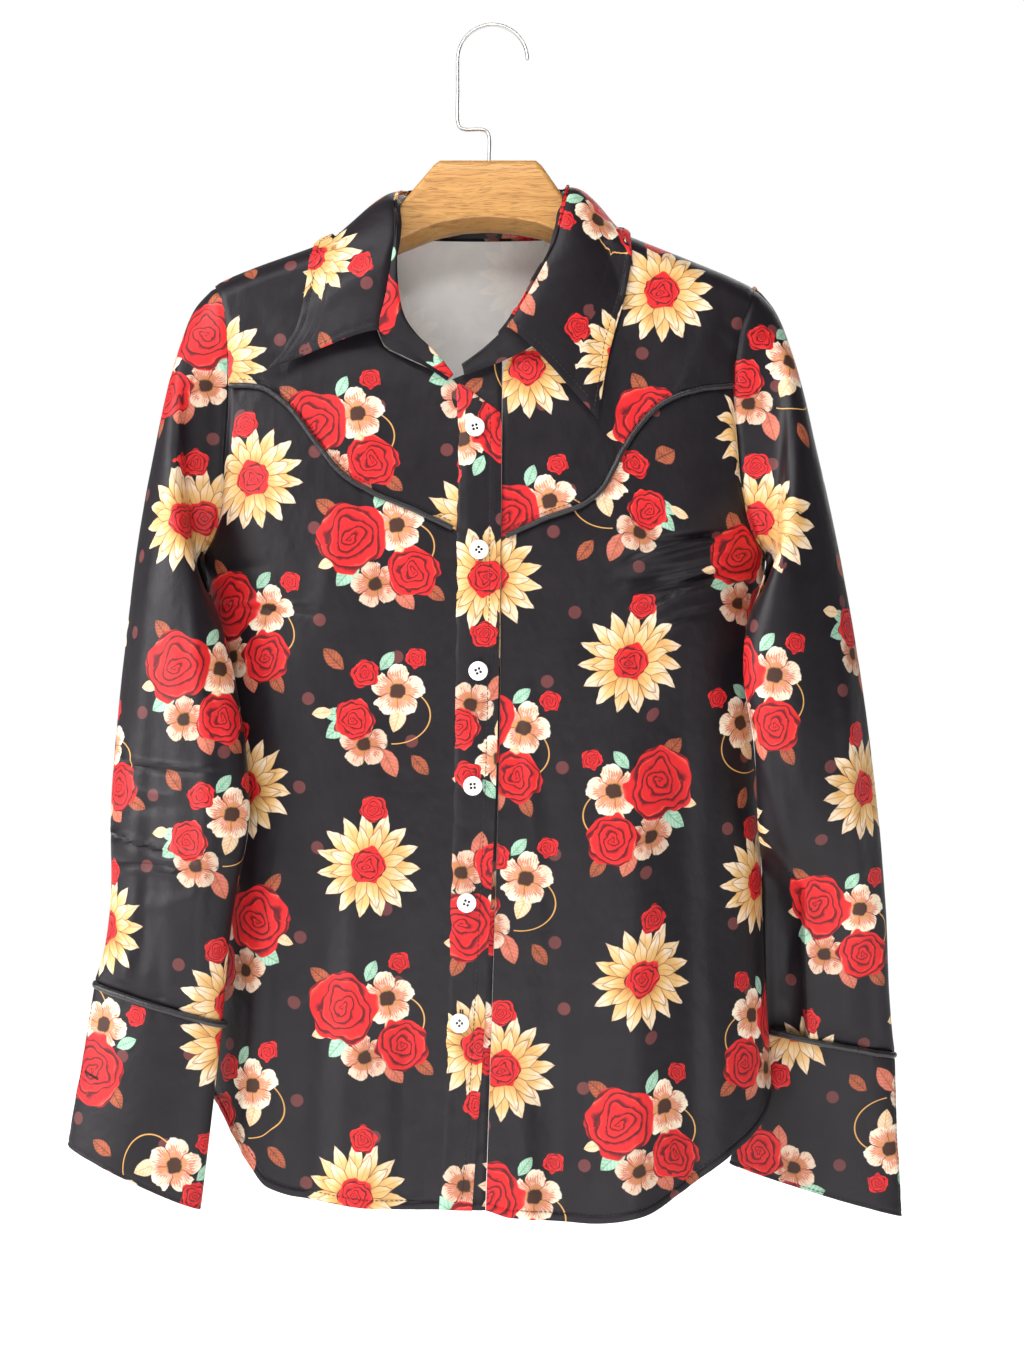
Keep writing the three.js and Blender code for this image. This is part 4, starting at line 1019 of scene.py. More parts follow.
panels = {
    "yokeRight": dict(
        first=neckRight, last=armRight, top=ridge, foot=lambda x: yokeSeamRight(x) + halfGap,
        face=frontFace, columns=110, rows=90, crowd=2, turn="last", side=-1, node="yoke_right",
        edges=[("foot", "seam", 3), ("last", "armhole", 5), ("first", "seam", 8)], armEdges=[], tucks=[],
        place=dict(turn=4, u=33, v=-22, level=-225), flat=(0.135, 0.215), area=0.0208),
    "yokeLeft": dict(
        first=neckLeft, last=armLeft, top=ridge, foot=lambda x: yokeSeamLeft(x) + halfGap,
        face=frontFace, columns=110, rows=90, crowd=2, turn="last", side=1, node="yoke_left",
        edges=[("foot", "seam", 4), ("last", "armhole", 6), ("first", "seam", 9)], armEdges=[], tucks=[],
        place=dict(turn=-3, u=-57, v=31, level=-225), flat=(0.15, 0.215), area=0.0215),
    "frontRight": dict(
        first=neckRight, last=outRight, top=lambda x: yokeSeamRight(x) - halfGap, foot=hem,
        face=frontFace, columns=108, rows=236, dense=[(0, 0.02, 2), (0.24, 0.08, 2.6), (0.99, 0.012, 5)],
        turn="last", side=-1, node="front_right",
        edges=[("top", "seam", 11), ("foot", "hem", 12)], armEdges=["last"], tucks=[("top", 5, 0.95)],
        place=dict(turn=2, u=14, v=47, level=-380), flat=(0.205, 0.55), area=0.092),
    "frontLeft": dict(
        first=neckLeft, last=outLeft, top=lambda x: yokeSeamLeft(x) - halfGap, foot=hem,
        face=frontFace, columns=108, rows=236, dense=[(0, 0.02, 2), (0.2, 0.1, 3), (0.99, 0.012, 5)],
        turn="last", side=1, node="front_left",
        edges=[("top", "seam", 13), ("foot", "hem", 14)], armEdges=["last"], tucks=[("top", 5, 0.95)],
        place=dict(turn=-2, u=60, v=12, level=-380), flat=(0.215, 0.56), area=0.097),
    "backPanel": dict(
        first=outRight, last=outLeft, top=backTop, foot=backHem,
        face=backFace, columns=170, rows=210, crowd=1.5, dense=[(0.3, 0.06, 1), (0.993, 0.008, 5)],
        turn="both", side=-1, node="back",
        edges=[("foot", "hem", 15)], armEdges=["first", "last"], tucks=[],
        place=dict(turn=0, u=21, v=5, fromMiddle=True, level=-230), flat=(0.405, 0.69), area=0.24),
}


def armEdge(grid, edge):
    # above the underarm the panel's outer edge is the armhole seam
    z = grid[..., 2]
    run = z / sewing["armhole"]["pitch"]
    sewn = sewnEdge("armhole", edgeDistances(grid)[edge], softNoise(run, 0 * run, 21.0))
    return sewn * smoothstep(z, underarm - 6, underarm + 14)


for name, panel in panels.items():
    grid = panelGrid(panel)
    outward = gridNormals(grid) * -panel["side"]
    rise = dressEdges(grid, panel["edges"])
    for edge in panel["armEdges"]:
        rise = rise + armEdge(grid, edge)
    # the shoulder and side folds stay sewn to each other
    rise = rise * smoothstep(fullness(grid[..., 0], grid[..., 2]), 0.0, 0.35)
    grid = grid + outward * rise[..., None]
    uv = panelUv(grid, panel["place"])
    for edge, reach, depth in panel["tucks"]:
        grid, uv = tuck(grid, uv, edge, reach, depth, panel["side"])
    piece = clothPiece(name, grid, uv, cloth["wall"], panel["side"])
    dress(piece, [panel["node"]])
print("body panels made")

placket = dict(
    columns=18, rows=270, lift=1.8, wave=0.6, underLap=12, band=25, groove=7, grooveDepth=0.3,
    outerPlace=dict(turn=180, u=40, v=-10), innerPlace=dict(turn=90, u=10, v=30))


def placketLift(share, z):
    # sewn down along its seam, free and slightly wavy along its edge
    free = smoothstep(share, 0.05, 0.3)
    wave = softNoise(z / 34, 0 * z, 31.0) * placket["wave"] * smoothstep(share, 0.4, 1)
    return 0.8 + (placket["lift"] - 0.8) * free + wave


def placketGrid(first, last, top):
    return panelGrid(dict(first=first, last=last, top=top, foot=hem, face=frontFace,
                          columns=placket["columns"], rows=placket["rows"]))


outer = placketGrid(placketSeam, placketEdge, lambda x: -244 - 0.75 * (x + 24))
share = np.broadcast_to(np.linspace(0, 1, placket["columns"] + 1), outer.shape[:2])
rise = dressEdges(outer, [
    ("first", "seam", 32), ("last", "bandEdge", 33), ("foot", "hem", 34), ("top", "seam", 35)])
# the stitches along the free edge draw in a groove
rise -= placket["grooveDepth"] * bell((1 - share) * placket["band"] - placket["groove"], 0.9)
lift = placketLift(share, outer[..., 2]) + rise
outer = outer + faceNormal(outer[..., 0], outer[..., 2]) * lift[..., None]
placketOuter = clothPiece("placketOuter", outer, panelUv(outer, placket["outerPlace"]), cloth["wall"], 1)
dress(placketOuter, ["placket_outer"], faced=True)

inner = placketGrid(
    lambda z: placketSeam(z) - 3 + placket["underLap"] * smoothstep(-z, 255, 285), innerSeam,
    lambda x: -240.5 + 0.42 * (x + 18))
rise = dressEdges(inner, [("foot", "hem", 36), ("last", "seam", 37)])
inner = inner + faceNormal(inner[..., 0], inner[..., 2]) * rise[..., None]
placketInner = clothPiece("placketInner", inner, panelUv(inner, placket["innerPlace"]), cloth["wall"], 1)
dress(placketInner, ["placket_inner"], faced=True)
print("plackets made")

# closed sections of each sleeve and cuff, from the top down

sleeveRows = {
    "right": table(
        "outer inner half thin",
        ((-202, 0, -192), (-197.6, -1, -366), 33, 0.2), ((-213, -4, -228), (-193, -15, -377), 35, 0.6),
        ((-225, -10, -284), (-185, -32, -388), 35, 1), ((-236, -14, -348), (-178, -38, -404), 33, 1),
        ((-244, -15, -414), (-169, -43, -438), 30, 1), ((-250, -16, -474), (-161, -46, -486), 27, 1),
        ((-254, -17, -530), (-158, -47, -532), 26, 1), ((-254, -20, -590), (-169, -46, -594), 23, 0.8),
        ((-258, -24, -624), (-174, -46, -636), 18, 0.5),
        ((-263, -28, -640.6), (-176, -46, -664.6), 12, 0.2)),
    "left": table(
        "outer inner half thin",
        ((190, 0, -193), (187, -1, -366), 33, 0.2), ((202, -4, -228), (183.5, -15, -377), 35, 0.6),
        ((216, -10, -284), (175, -32, -386), 35, 1), ((230, -13, -348), (168, -39, -400), 33, 1),
        ((242, -13, -414), (164, -44, -436), 30, 1), ((251, -12, -472), (171, -41, -484), 28, 1),
        ((258, -9, -530), (175, -30, -536), 26, 0.8), ((262, -5, -562), (180.6, -6, -566), 24.5, 0.5),
        ((265, -2, -592), (182.6, 17, -594), 23, 0.2), ((269, 6, -652), (184.6, 25, -646), 18, 0),
        ((274, 14, -695.4), (187, 29, -680.4), 12, 0)),
}
cuffRows = {
    "right": table(
        "outer inner half thin",
        ((-263, -28, -641.4), (-176, -46, -665.4), 12, 0.2),
        ((-272, -28, -696), (-183, -46, -727), 13, 0.2),
        ((-281, -28, -748), (-190, -46, -786), 15, 0.2)),
    "left": table(
        "outer inner half thin",
        ((274, 14, -696.3), (187, 29, -681.3), 12, 0), ((276, 14, -752), (178, 36, -728), 12, 0),
        ((279, 14, -806), (164, 44, -777), 14, 0)),
}
# long folds: turn is the place round the sleeve, first and last the part of its length it takes
sleeveFolds = {
    "right": table(
        "turn width first last rise",
        (0.2, 0.035, 0.45, 1, -4), (0.33, 0.03, 0.3, 0.9, 3), (0.7, 0.04, 0.3, 1, -4),
        (0.86, 0.03, 0.4, 1, 3)),
    "left": table(
        "turn width first last rise",
        (0.16, 0.03, 0.35, 0.9, 3), (0.34, 0.04, 0.62, 1.1, -5), (0.68, 0.04, 0.3, 1, -4),
        (0.84, 0.03, 0.4, 1, 3)),
}
sleeveCreases = {
    "right": table(
        "x z toX toZ bow width rise grow fade lean",
        (-256, -490, -172, -497, 3, 2.0, 1.7, 0.2, 0.4, 0.9),
        (-258, -528, -190, -524, -2, 4.0, -1.2, 0.2, 0.5, 0),
        (-262, -538, -158, -558, 3, 1.9, 2.0, 0.15, 0.4, 0.9),
        (-256, -561, -168, -568, -2, 2.1, -1.8, 0.2, 0.4, 0.7),
        (-240, -512, -204, -516, 1, 1.8, 0.8, 0.3, 0.4, 0.6),
        (-236, -590, -176, -576, 2, 5.0, 1.1, 0.3, 0.4, 0),
        (-196, -196, -214, -330, 6, 8.0, 1.8, 0.3, 0.5, 0),
        (-182, -215, -190, -345, -4, 6.0, -2.0, 0.3, 0.4, 0),
        (-214, -330, -226, -500, 5, 10.0, 1.8, 0.4, 0.4, 0),
        (-190, -380, -182, -520, -4, 9.0, -1.6, 0.4, 0.4, 0),
        (-240, -640, -232, -560, 2, 5.0, 1.4, 0.05, 0.6, 0),
        (-216, -650, -212, -590, -2, 5.0, -1.4, 0.05, 0.6, 0),
        (-194, -655, -192, -596, 2, 5.0, 1.2, 0.05, 0.6, 0)),
    "left": table(
        "x z toX toZ bow width rise grow fade lean",
        (182, -330, 214, -344, 2, 5.0, 1.4, 0.2, 0.6, 0.4),
        (178, -352, 206, -378, -2, 6.0, -1.4, 0.2, 0.6, 0),
        (186, -196, 204, -320, -6, 9.0, 1.8, 0.3, 0.5, 0),
        (204, -330, 224, -480, -5, 10.0, -1.6, 0.4, 0.4, 0),
        (230, -360, 244, -520, 4, 9.0, 1.6, 0.4, 0.5, 0),
        (174, -480, 206, -630, -6, 6.0, 2.0, 0.3, 0.4, 0.5),
        (214, -540, 236, -640, 4, 9.0, -1.6, 0.4, 0.5, 0),
        (238, -680, 232, -600, 3, 7.0, 1.5, 0.05, 0.6, 0),
        (258, -690, 254, -610, -2, 6.0, -1.4, 0.05, 0.6, 0),
        (200, -660, 214, -600, 2, 5.0, 1.2, 0.1, 0.5, 0)),
}

sleeve = dict(
    around=124, along=200, foldWall=0.1, backShift=23, swell=1.1, swellAt=16,
    edgeReach=25, thickShare=0.6, ease=10, anchorRow=60, rounds=900,
    sides={"right": dict(turn=-5, u=0, v=5, way=1), "left": dict(turn=7, u=108, v=1, way=-1)})
pleat = dict(turn=0.3, start=0.47, width=0.01, first=0.62, bend=0.8, depth=9, lean=5, lip=0.018,
             lipRise=1.5, fadeFrom=0.08, fadeTo=0.17)


def sectionPoint(rows, turn):
    # closed sections between an outer and an inner edge: turn runs from the outer edge by the front
    angle = turn * 2 * math.pi
    share = (1 + np.cos(angle)) / 2
    points = []
    for row in rows:
        inside, outside = np.array(row["inner"], float), np.array(row["outer"], float)
        point = inside + (outside - inside) * share[..., None]
        lean = np.where(np.sin(angle) < 0, lerp(1.0, np.sqrt(share), row["thin"]), 1.0)
        point[..., 1] -= row["half"] * np.sin(angle) * lean
        points.append(point)
    return np.stack(points, -2)


def sleeveGrid(side, around, along):
    # the columns start at the underarm seam
    turn = (0.5 + np.arange(around) / around) % 1
    arm = armRight if side == "right" else armLeft
    outward = -1 if side == "right" else 1
    z = lerp(armholeRows[0]["z"], underarm, (1 - np.cos(turn * 2 * math.pi)) / 2)
    x = arm(z)
    y = np.where(turn < 0.5, frontFace(x, z), backFace(x, z))
    start = np.stack([x + outward * 0.35, y, z], -1)
    controls = np.concatenate([start[:, None, :], sectionPoint(sleeveRows[side], turn)], 1)
    down = crowded(along, 1, [(0.0, 0.03, 1), (0.66 if side == "right" else 0.3, 0.12, 1.6), (1.0, 0.03, 1)])
    grid = splinePoints(controls, down)
    turns = np.broadcast_to(turn, grid.shape[:2])
    downs = np.broadcast_to(down[:, None], grid.shape[:2])
    rise = np.zeros(grid.shape[:2])
    for fold in sleeveFolds[side]:
        swell = smoothstep(downs, fold["first"], fold["first"] + 0.2) * (
            1 - smoothstep(downs, fold["last"] - 0.2, fold["last"]))
        rise += fold["rise"] * swell * bell(turns - fold["turn"], fold["width"])
    grid[..., 1] -= rise * np.sign(np.sin(turns * 2 * math.pi))
    return grid, turns, downs


def sleeveDetail(side, grid, turns):
    outward = gridNormals(grid, True) * (1 if side == "left" else -1)
    angle = turns * 2 * math.pi
    ahead = np.sin(angle)
    x, z = grid[..., 0], grid[..., 2]
    front = creaseRise(sleeveCreases[side], x, z) * smoothstep(ahead, 0.0, 0.45)
    # the hidden half creases in the same way, a little lower and the other way round
    back = -creaseRise(sleeveCreases[side], x, z + sleeve["backShift"]) * smoothstep(-ahead, 0.0, 0.45) * 0.8
    run = clothLengths(grid, 0)
    left = run[-1:] - run
    rise = front + back + liveliness(x + 2 * grid[..., 1], z, 4.0 if side == "right" else 6.0) * 0.7
    for off, kind, seed in ((run, "armhole", 41.0), (left, "seam", 43.0)):
        rise += sewnEdge(kind, off, softNoise(5 * np.cos(angle), 5 * np.sin(angle), seed))
    # gathered cloth swells just above the cuff
    rise += sleeve["swell"] * bell(left - sleeve["swellAt"], 10) * np.abs(ahead)
    return grid + outward * rise[..., None]


def sleeveUv(grid, place):
    # the print is laid on the flat piece: the front half lies as it hangs, the hidden half is
    # turned over the outer edge, and the whole is then eased to the piece's own lengths
    count = grid.shape[1]
    edge, middle = count // 2, count * 3 // 4
    flat = grid[..., [0, 2]].copy()
    outerEdge = flat[:, edge]
    run = clothLengths(outerEdge, 0)
    before, after = (np.stack([np.interp(run + reach, run, line) for line in outerEdge.T], -1)
                     for reach in (-sleeve["edgeReach"], sleeve["edgeReach"]))
    ahead = unit(after - before)
    away = flat - outerEdge[:, None]
    along = np.sum(away * ahead[:, None], axis=-1, keepdims=True) * ahead[:, None]
    over = outerEdge[:, None] + 2 * along - away
    thick = np.abs(grid[:, count // 4, 1] - grid[:, middle, 1])[:, None, None] * sleeve["thickShare"]
    beyond = np.stack([ahead[:, 1], -ahead[:, 0]], -1)[:, None] * place["way"]
    flat[:, :edge] = over[:, :edge]
    eased = smoothstep(edge + sleeve["ease"] - np.arange(count), 0, 2 * sleeve["ease"])
    flat += beyond * thick * eased[None, :, None]
    flat = laidFlat(grid, flat, rounds=sleeve["rounds"])
    # the print's place is told from one row of the front
    anchor = sleeve["anchorRow"], middle
    flat = flat - flat[anchor] + grid[anchor][[0, 2]]
    return turned(flat[..., 0], flat[..., 1], place)


for side, place in sleeve["sides"].items():
    grid, turns, downs = sleeveGrid(side, sleeve["around"], sleeve["along"])
    grid = sleeveDetail(side, grid, turns)
    wallSide = 1 if side == "right" else -1
    if side == "left":
        # one pleat is laid in above the cuff: the cloth steps back behind its fold
        grow = smoothstep(downs, pleat["first"], pleat["bend"])
        at = lerp(pleat["start"], pleat["turn"], grow)
        step = smoothstep(turns, at - pleat["width"], at)
        step *= 1 - smoothstep(turns, at + pleat["fadeFrom"], at + pleat["fadeTo"])
        grid[..., 1] += pleat["depth"] * grow * step
        # the fold's lip leans over the cloth behind it
        lip = bell(turns - at + pleat["width"] * 1.4, pleat["lip"])
        grid[..., 1] -= pleat["lipRise"] * grow * lip
        grid[..., 0] -= pleat["lean"] * grow * lip
    uv = sleeveUv(grid, place)
    # both ends run on a little, the top one under the body and the foot one into the cuff
    grid, uv = tuck(grid, uv, "top", 3, 1.2, wallSide, (wallSide * 0.8, 0, -0.6))
    grid, uv = tuck(grid, uv, "foot", 4, 1.0, wallSide)
    # the wall thins where front and back meet in a fold
    turn = (0.5 + np.arange(grid.shape[1]) / grid.shape[1]) % 1
    wall = lerp(sleeve["foldWall"], cloth["wall"], smoothstep(np.abs(turn - 0.5), 0.0, 0.06))
    wall = np.broadcast_to(wall, grid.shape[:2])
    piece = clothPiece("sleeve" + side.capitalize(), grid, uv, wall, wallSide, closed=True)
    # where the upper sleeve folds over itself at the underarm, both its faces are the right side
    slots = np.empty(len(piece.data.polygons), dtype=np.int32)
    piece.data.polygons.foreach_get("material_index", slots)
    faces = (grid.shape[0] - 1) * grid.shape[1]
    slots[faces:faces + faces // 2] = 0
    piece.data.polygons.foreach_set("material_index", slots)
    dress(piece, ["sleeve_upper_" + side, "sleeve_lower_" + side])

cuff = dict(across=140, down=50, endTurn=0.008, endStitch=2.2, sides={
    "right": dict(turn=90, u=12, v=58), "left": dict(turn=184, u=12, v=58)})
cuffGrids = {}
for side, place in cuff["sides"].items():
    wallSide = 1 if side == "right" else -1
    turn = lerp(cuff["endTurn"], 1 - cuff["endTurn"], np.linspace(0, 1, cuff["across"] + 1))
    down = crowded(cuff["down"], 1, [(0, 0.04, 3), (1, 0.04, 3)])
    grid = splinePoints(sectionPoint(cuffRows[side], turn), down)
    outward = gridNormals(grid) * -wallSide
    rise = dressEdges(grid, [
        ("top", "seam", 51), ("foot", "bandEdge", 52), ("first", "bandEdge", 53), ("last", "bandEdge", 54)])
    turns = np.broadcast_to(turn, grid.shape[:2])
    rise += liveliness(turns * 190, grid[..., 2], 8.0 + wallSide) * np.abs(np.sin(turns * 2 * math.pi))
    grid = grid + outward * rise[..., None]
    cuffGrids[side] = grid
    piece = clothPiece("cuff" + side.capitalize(), grid, laidFlat(grid, panelUv(grid, place)),
                       cloth["band"], wallSide)
    dress(piece, ["cuff_" + side], faced=True)
print("sleeves and cuffs made")

# sections round the neck from the right band end by the back to the left one: the stand's seam on
# the neckline, the roll at its top, the crease where the leaf is sewn on, and the leaf's edge
collarRows = table(
    "seam fold crease edge",
    ((-31, -44, -247), (-25, -46, -241), (-28, -47.5, -243.5), None),
    ((-44, -43, -238), (-36, -47, -227), (-45, -48, -232.5), None),
    ((-58, -42, -231), (-48, -48, -215), (-62, -48.5, -220), None),
    ((-71, -40, -223), (-56, -48, -203), (-73, -48.5, -213.5), (-146, -40, -238)),
    ((-78, -38, -200), (-60, -47, -184), (-69.5, -48, -190), (-128, -39, -208)),
    ((-80, -35, -172), (-61, -44, -160), (-65.5, -45.5, -164), (-122, -34, -178)),
    ((-77, -31, -147), (-62, -38, -139), (-63.2, -38.6, -140.5), (-119, -25, -158)),
    ((-74, -22, -137), (-64, -27, -123), (-64.6, -27.2, -123.6), (-111, -13, -149)),
    ((-70, 0, -131), (-62, 0, -111), (-62.6, 0, -111.4), (-100, 0, -139.5)),
    ((-68, 23, -133.5), (-59, 25, -105), (-59.5, 25.3, -105.4), (-90, 24, -141)),
    ((-48, 32, -136.5), (-45, 29, -102), (-45.3, 29.4, -102.4), (-62, 40, -148)),
    ((-5, 33, -138), (-5, 30, -101), (-5, 30.5, -101.4), (-5, 43, -152)),
    ((36, 32, -136.5), (34, 29, -102), (34.3, 29.4, -102.4), (50, 40, -148)),
    ((54, 23, -133), (47, 25, -105), (47.5, 25.3, -105.4), (77, 24, -139)),
    ((57, 0, -130), (50, 0, -108), (50.6, 0, -108.4), (86, 0, -138)),
    ((61, -22, -137), (49, -27, -116), (49.6, -27.2, -116.4), (91, -14, -148)),
    ((63, -32, -149), (45, -38, -134), (45.6, -38.3, -134.4), (92, -28, -160)),
    ((62, -36, -175), (40, -44, -154), (40.6, -44.3, -154.4), (87, -38, -190)),
    ((52, -40, -200), (24, -48, -184), (24.6, -48.3, -184.4), (77, -43, -226)),
    ((31, -42, -221), (8, -49, -211), (8.6, -49.3, -211.4), (69, -46, -271)),
    ((10, -43, -233), (-3, -48, -222), None, None),
    ((-18, -44, -244), (-20, -47, -235), None, None))
collar = dict(
    around=224, down=42, axis=(-5, 0, 0), crown=5, clear=4.2, shoulderFlat=0.75, seamRise=2.0, wall=1.3,
    rolls=((42, 11, 1.5), (62, 9, -1.2)), pointLift=2.4, pointReach=16, bulge=1.2,
    leafPlace=dict(turn=-12, u=31, v=66), standPlace=dict(turn=0, u=12, v=9))


def clearOfBody(points):
    # lifts the leaf where the shoulder is flat and moves it out where the shoulder falls
    for outward, face in ((-1, frontY), (1, backY)):
        here = points[..., 1] < 0 if outward < 0 else points[..., 1] >= 0
        x, y, z = points[..., 0], points[..., 1], points[..., 2]
        depth = np.abs(face(x, ridge(x) - cloth["turnOver"]))
        inside = np.clip(np.abs(y) / depth, 0, 1)
        shoulder = ridge(x) - cloth["turnOver"] * (1 - np.sqrt(1 - inside ** 2))
        lift = shoulder + collar["clear"] - z
        away = (face(x, z) - y) * outward + collar["clear"]
        close = here & (lift > 0) & (away > 0)
        flat = inside < collar["shoulderFlat"]
        points[..., 2] = np.where(close & flat, z + lift, z)
        points[..., 1] = np.where(close & ~flat, y + outward * away, y)
    return points


def collarLine(key, rows):
    points = np.array([row[key] for row in rows], float)
    return splinePoints(points, np.linspace(0, 1, collar["around"] + 1))


def neckOutward(points):
    # away from the neck's axis and a little upward
    away = points - np.array(collar["axis"], float)
    away[..., 2] = 0
    away = unit(away)
    away[..., 2] = 0.6
    return unit(away)


leafRows = [row for row in collarRows if row["edge"]]
leafFolds, leafCreases, leafEdges = (collarLine(key, leafRows) for key in ("fold", "crease", "edge"))
rolled = np.linalg.norm(leafCreases - leafFolds, axis=1)

# the leaf: from under its crease over the crown down to its edge, both points a little turned up
leaf = []
for down in np.linspace(0, 1, collar["down"] + 1) ** 1.25:
    line = leafCreases + (leafEdges - leafCreases) * down
    crown = collar["crown"] * np.sin(math.pi * math.sqrt(down)) * (1 - 0.25 * smoothstep(rolled, 2, 14))
    leaf.append(line + neckOutward(line) * crown[:, None])
leaf = clearOfBody(np.stack(leaf))
leafOut = gridNormals(leaf)
leafRun = clothLengths(leaf, 0)
leafAcross = clothLengths(leaf, 1)
leafRise = 0.9 * smoothstep(leafRun, 0, 5) * smoothstep(rolled, 1, 8)[None, :] - 0.7
# upright rolls where the leaf bends round the neck, and its two free points lifting
for place, width, rise in collar["rolls"]:
    leafRise += rise * bell(leafAcross - place, width) * np.sin(math.pi * np.clip(leafRun / 60, 0, 1))
leafRise += softNoise(leafAcross / 24, leafRun / 30, 61.0) * 0.5
leafRise += softNoise(leafAcross / 9, leafRun / 14, 62.0) * 0.12
fromEnds = np.minimum(leafAcross, leafAcross[:, -1:] - leafAcross)
fromEdge = leafRun[-1:] - leafRun
leafRise += collar["pointLift"] * bell(np.hypot(fromEnds, fromEdge), collar["pointReach"])
leafRise += dressEdges(leaf, [("foot", "stitched", 63), ("first", "stitched", 64), ("last", "stitched", 65)])
leaf = leaf + leafOut * leafRise[..., None]
# the leaf is cut straight, so its print runs round with it
middle = collar["around"] // 2
leafU = leafAcross - leafAcross[:, middle:middle + 1]
leafUv = laidFlat(leaf, turned(leafU, -leafRun, collar["leafPlace"]), 3)
leafGrid, leafGridUv = tuck(leaf, leafUv, "top", 5, 1.5, -1)
collarLeaf = clothPiece("collarLeaf", leafGrid, leafGridUv, collar["wall"], -1)
dress(collarLeaf, ["collar_leaf"], faced=True)

# the stand: up from the neckline, over the roll and, on the right, on down to the leaf's crease
standRows = [dict(row, crease=row["crease"] or tuple(np.array(row["fold"]) + (1.2, -1.0, -1.0)))
             for row in collarRows]
standSeams, standFolds, standCreases = (collarLine(key, standRows) for key in ("seam", "fold", "crease"))
height = np.linalg.norm(standSeams - standFolds, axis=1, keepdims=True)
foot = standSeams + (standFolds - standSeams) * collar["seamRise"] / height
level = neckOutward(standFolds) * (1, 1, 0)
stand = []
for up in np.linspace(0, 1, 15):
    stand.append(foot + (standFolds - foot) * up - level * collar["bulge"] * np.sin(math.pi * up))
reach = np.linalg.norm(standCreases - standFolds, axis=1, keepdims=True)
for over in np.linspace(0, 1, 17)[1:]:
    crown = np.minimum(2.0, reach * 0.2) * np.sin(math.pi * np.sqrt(over))
    line = standFolds + (standCreases - standFolds) * over
    stand.append(line + neckOutward(line) * crown)
stand = np.stack(stand)
# the roll is a round one
for _ in range(3):
    stand[12:18] = (stand[11:17] + 2 * stand[12:18] + stand[13:19]) / 4
standOut = gridNormals(stand)
standAcross, standRun = clothLengths(stand, 1), clothLengths(stand, 0)
standRise = softNoise(standAcross / 17, standRun / 20, 66.0) * 0.4 * smoothstep(standRun, 0, 6)
stand = stand + standOut * standRise[..., None]
standU = standAcross - standAcross[:, middle:middle + 1]
standUv = laidFlat(stand, turned(standU, -standRun, collar["standPlace"]), 3)
collarStand = clothPiece("collarStand", stand, standUv, collar["wall"], -1)
dress(collarStand, ["collar_stand"], faced=True)
print("collar made")


def cordMesh(name, path, across, along, sides):
    # a cord of elliptical section: `across` in the plane of its bend, `along` the other way
    ahead = unit(np.gradient(path, axis=0))
    side = unit(np.cross(ahead, np.array([0, 1, 0])))
    other = np.cross(side, ahead)
    angles = np.arange(sides) / sides * 2 * math.pi
    grid = (path[:, None, :] + side[:, None, :] * np.cos(angles)[None, :, None] * across
            + other[:, None, :] * np.sin(angles)[None, :, None] * along)
    # each end is closed towards a point on the path
    count = len(path)
    points = np.concatenate([grid.reshape(-1, 3), path[[0, -1]]])
    faces = tubeFaces(count, sides)
    for first, centre, way in ((0, count * sides, -1), ((count - 1) * sides, count * sides + 1, 1)):
        faces += [(first + i, first + (i + 1) % sides, centre)[::way] for i in range(sides)]
    run = clothLengths(path, 0)
    uv = np.stack([np.repeat(run, sides), np.tile(angles * across, count)], -1)
    return newMesh(name, points, faces, uvs=np.concatenate([uv, [[run[0], 0], [run[-1], 0]]]))


def cordPath(points, steps):
    return splinePoints(np.asarray(points, float), np.linspace(0, 1, steps + 1))


def yokeSeamPath(side, reach, count):
    first = (lambda z: placketSeam(z) - 1.8) if side == "right" else (lambda z: placketEdge(z) + 2.4)
    last = armRight if side == "right" else armLeft
    seam = yokeSeamRight if side == "right" else yokeSeamLeft
    share = lerp(reach[0], reach[1], np.linspace(0, 1, count + 1))
    z = np.full(share.shape, -300.0)
    for _ in range(40):
        x = lerp(first(z), last(z), share)
        z = seam(x)
    return x, z


def pipingMaterial():
    material, tree, look = newMaterial("black satin piping")
    place = clothPlace(tree)
    height, _ = useGroup(satinWeave, Vector=place)
    run, _, _ = splitVector(vectorNode("SCALE", place, 1000.0))
    tone = noiseNode(joinVector(run * 0.35, 0.0), 1.0, 3.0)
    feed(mixColour(tone, colour("thread"), colour("ground")), look["Base Color"])
    feed(between(tone, 0.22, 0.36), look["Roughness"])
    feed(bumpNormal(height * 0.4 + tone * 3, 0.0001), look["Normal"])
    look["Sheen Weight"].default_value = 0.1
    return material


pipingSatin = pipingMaterial()
piping = dict(radius=1.75, cuffRadius=2.15, sunk=0.25, cuffSunk=0.2, sides=10, steps=300, stitchAbove=4.4)


def addPiping(name, path, radius, node):
    # covered cord is never quite even
    run = clothLengths(path, 0)
    path = path.copy()
    path[:, 2] += 0.22 * softNoise(run / 9, 0 * run, 71.0)
    path[:, 1] += 0.2 * softNoise(run / 7, 0 * run, 72.0)
    cord = cordMesh(name, path, radius, radius, piping["sides"])
    cord.data.materials.append(pipingSatin)
    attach(cord, "root")
    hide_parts(node)


for side in ("right", "left"):
    x, z = yokeSeamPath(side, (0.005, 0.985), 60)
    path = cordPath(onFront(x, z) + faceNormal(x, z) * (piping["radius"] - piping["sunk"]), piping["steps"])
    addPiping("yokePiping" + side.capitalize(), path, piping["radius"], "yoke_piping_" + side)
    # a row of stitches runs just above the cord
    x, z = yokeSeamPath(side, (0.01, 0.98), 160)
    z = z + piping["stitchAbove"]
    stitchLine(onFront(x, z), faceNormal(x, z), lift=0.0)

